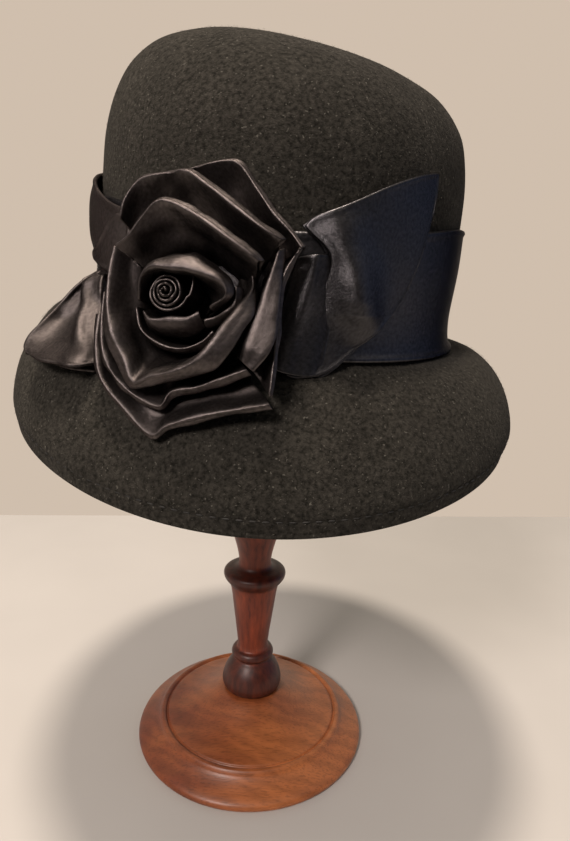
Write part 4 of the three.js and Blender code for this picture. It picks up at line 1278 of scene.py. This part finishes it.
# how far each petal's rim rolls back, as a share of the construction model's roll
ROLLS = {
    "rose_petal_upper_inner": 0.7,
    "rose_petal_upper_middle": 0.65,
    "rose_petal_right_outer": 0.5,
    "rose_petal_lower_middle": 0.8,
}

print(len(PETALS), "lengths of ribbon,", len(ROLLS), "of them rolled less")

# %% Wind the petals
FIRST_PETAL_SEED = 50
for seed, (node, rows) in enumerate(PETALS.items(), start=FIRST_PETAL_SEED):
    turn = petal(node + "_ribbon", rows, ROLLS.get(node, 1.0), seed)
    finish_piece(turn, rose_satin, "rose_satin", node)

# %% [markdown]
# ## Floor, lights and room
# A plain pale floor and a plain pale room set the dark hat off, as in a small studio. One soft lamp
# hangs above the hat, so the brim throws a round shadow on the floor. A broader soft light from the
# front left draws the long gloss on the satin. The room behind is pale and lit, its left side is
# warm, its right side is a dim blue and the front is dark, which keeps the satin black.

# %% Floor
FLOOR = {"left": -1.6, "right": 1.6, "front": -0.34, "back": 0.3193}
FLOOR_COLOUR = (0.62, 0.60, 0.57)
BACK_EDGE_SLANT = 0.094  # how far the back edge runs away for each metre to the right


def floor_material():
    """A plain pale surface that is hardly mottled."""
    material, tree = new_material("plain_pale_floor")
    drift = noise(tree, place_in_object(tree), 12, 2)
    shade = ramp(tree, drift, (0.3, 0.98), (0.7, 1.02))
    colour = mix_colours(tree, 1.0, FLOOR_COLOUR, shade, "MULTIPLY")
    set_sockets(tree, Base_Color=colour, Roughness=0.6, Specular_IOR_Level=0.25)
    return material


floor_corners = [
    (FLOOR["left"], FLOOR["front"], 0),
    (FLOOR["right"], FLOOR["front"], 0),
    (FLOOR["right"], FLOOR["back"] + BACK_EDGE_SLANT * FLOOR["right"], 0),
    (FLOOR["left"], FLOOR["back"] + BACK_EDGE_SLANT * FLOOR["left"], 0),
]
pale_floor = add_object("pale_floor", np.array(floor_corners) / MM, [(0, 1, 2, 3)])
pale_floor.data.materials.append(floor_material())
print("floor", FLOOR["right"] - FLOOR["left"], "m wide")


# %% Lamp and soft light
def disc_light(name, place, target, size, power, colour):
    """A round light, in metres and watts, that shines at a target."""
    data = bpy.data.lights.new(name, "AREA")
    data.shape = "DISK"
    data.size = size
    data.energy = power
    data.color = colour
    light = bpy.data.objects.new(name, data)
    bpy.context.scene.collection.objects.link(light)
    light.location = place
    light.rotation_mode = "QUATERNION"
    light.rotation_quaternion = (Vector(target) - light.location).to_track_quat("-Z", "Y")
    print(f"{name}: {power} W, {size} m across")


# place, target, size, power and colour
LAMP = ((-0.089, -0.096, 1.444), (-0.03, -0.03, 0.3), 0.20, 12.8, (1.0, 0.86, 0.73))
SOFT_LIGHT = ((-0.6, -1.15, 1.05), (0, 0, 0.25), 0.4, 15, (1.0, 0.88, 0.82))
disc_light("lamp", *LAMP)
disc_light("soft_light", *SOFT_LIGHT)

# %% Room light
world = bpy.data.worlds.new("room")
world.use_nodes = True
bpy.context.scene.world = world
sky = world.node_tree
way = add_node(sky, "ShaderNodeTexCoord").outputs["Generated"]
axes = add_node(sky, "ShaderNodeSeparateXYZ", {"Vector": way})


def share_of_way(axis, start, end):
    """0 to 1 as the direction's part along one axis goes from start to end."""
    inputs = {"Value": axes.outputs[axis], "From Min": start, "From Max": end}
    node = add_node(sky, "ShaderNodeMapRange", inputs, interpolation_type="SMOOTHSTEP")
    return node.outputs["Result"]


LEFT_ROOM = (0.36, 0.32, 0.29)
RIGHT_ROOM = (0.125, 0.165, 0.27)
FRONT_ROOM = (0.045, 0.040, 0.040)
CEILING = (0.50, 0.45, 0.385)
BACK_WALL = (0.63, 0.52, 0.42)
sides = mix_colours(sky, share_of_way("X", -0.5, 0.45), LEFT_ROOM, RIGHT_ROOM)
lower = mix_colours(sky, share_of_way("Y", 0.0, -0.6), sides, FRONT_ROOM)
upper = mix_colours(sky, share_of_way("Z", 0.40, 0.85), lower, CEILING)
room = mix_colours(sky, share_of_way("Y", 0.45, 0.80), upper, BACK_WALL)
sky.links.new(room, sky.nodes["Background"].inputs["Color"])
sky.nodes["Background"].inputs["Strength"].default_value = 1.0

bpy.context.scene.view_settings.view_transform = "Standard"
print("room light is set")
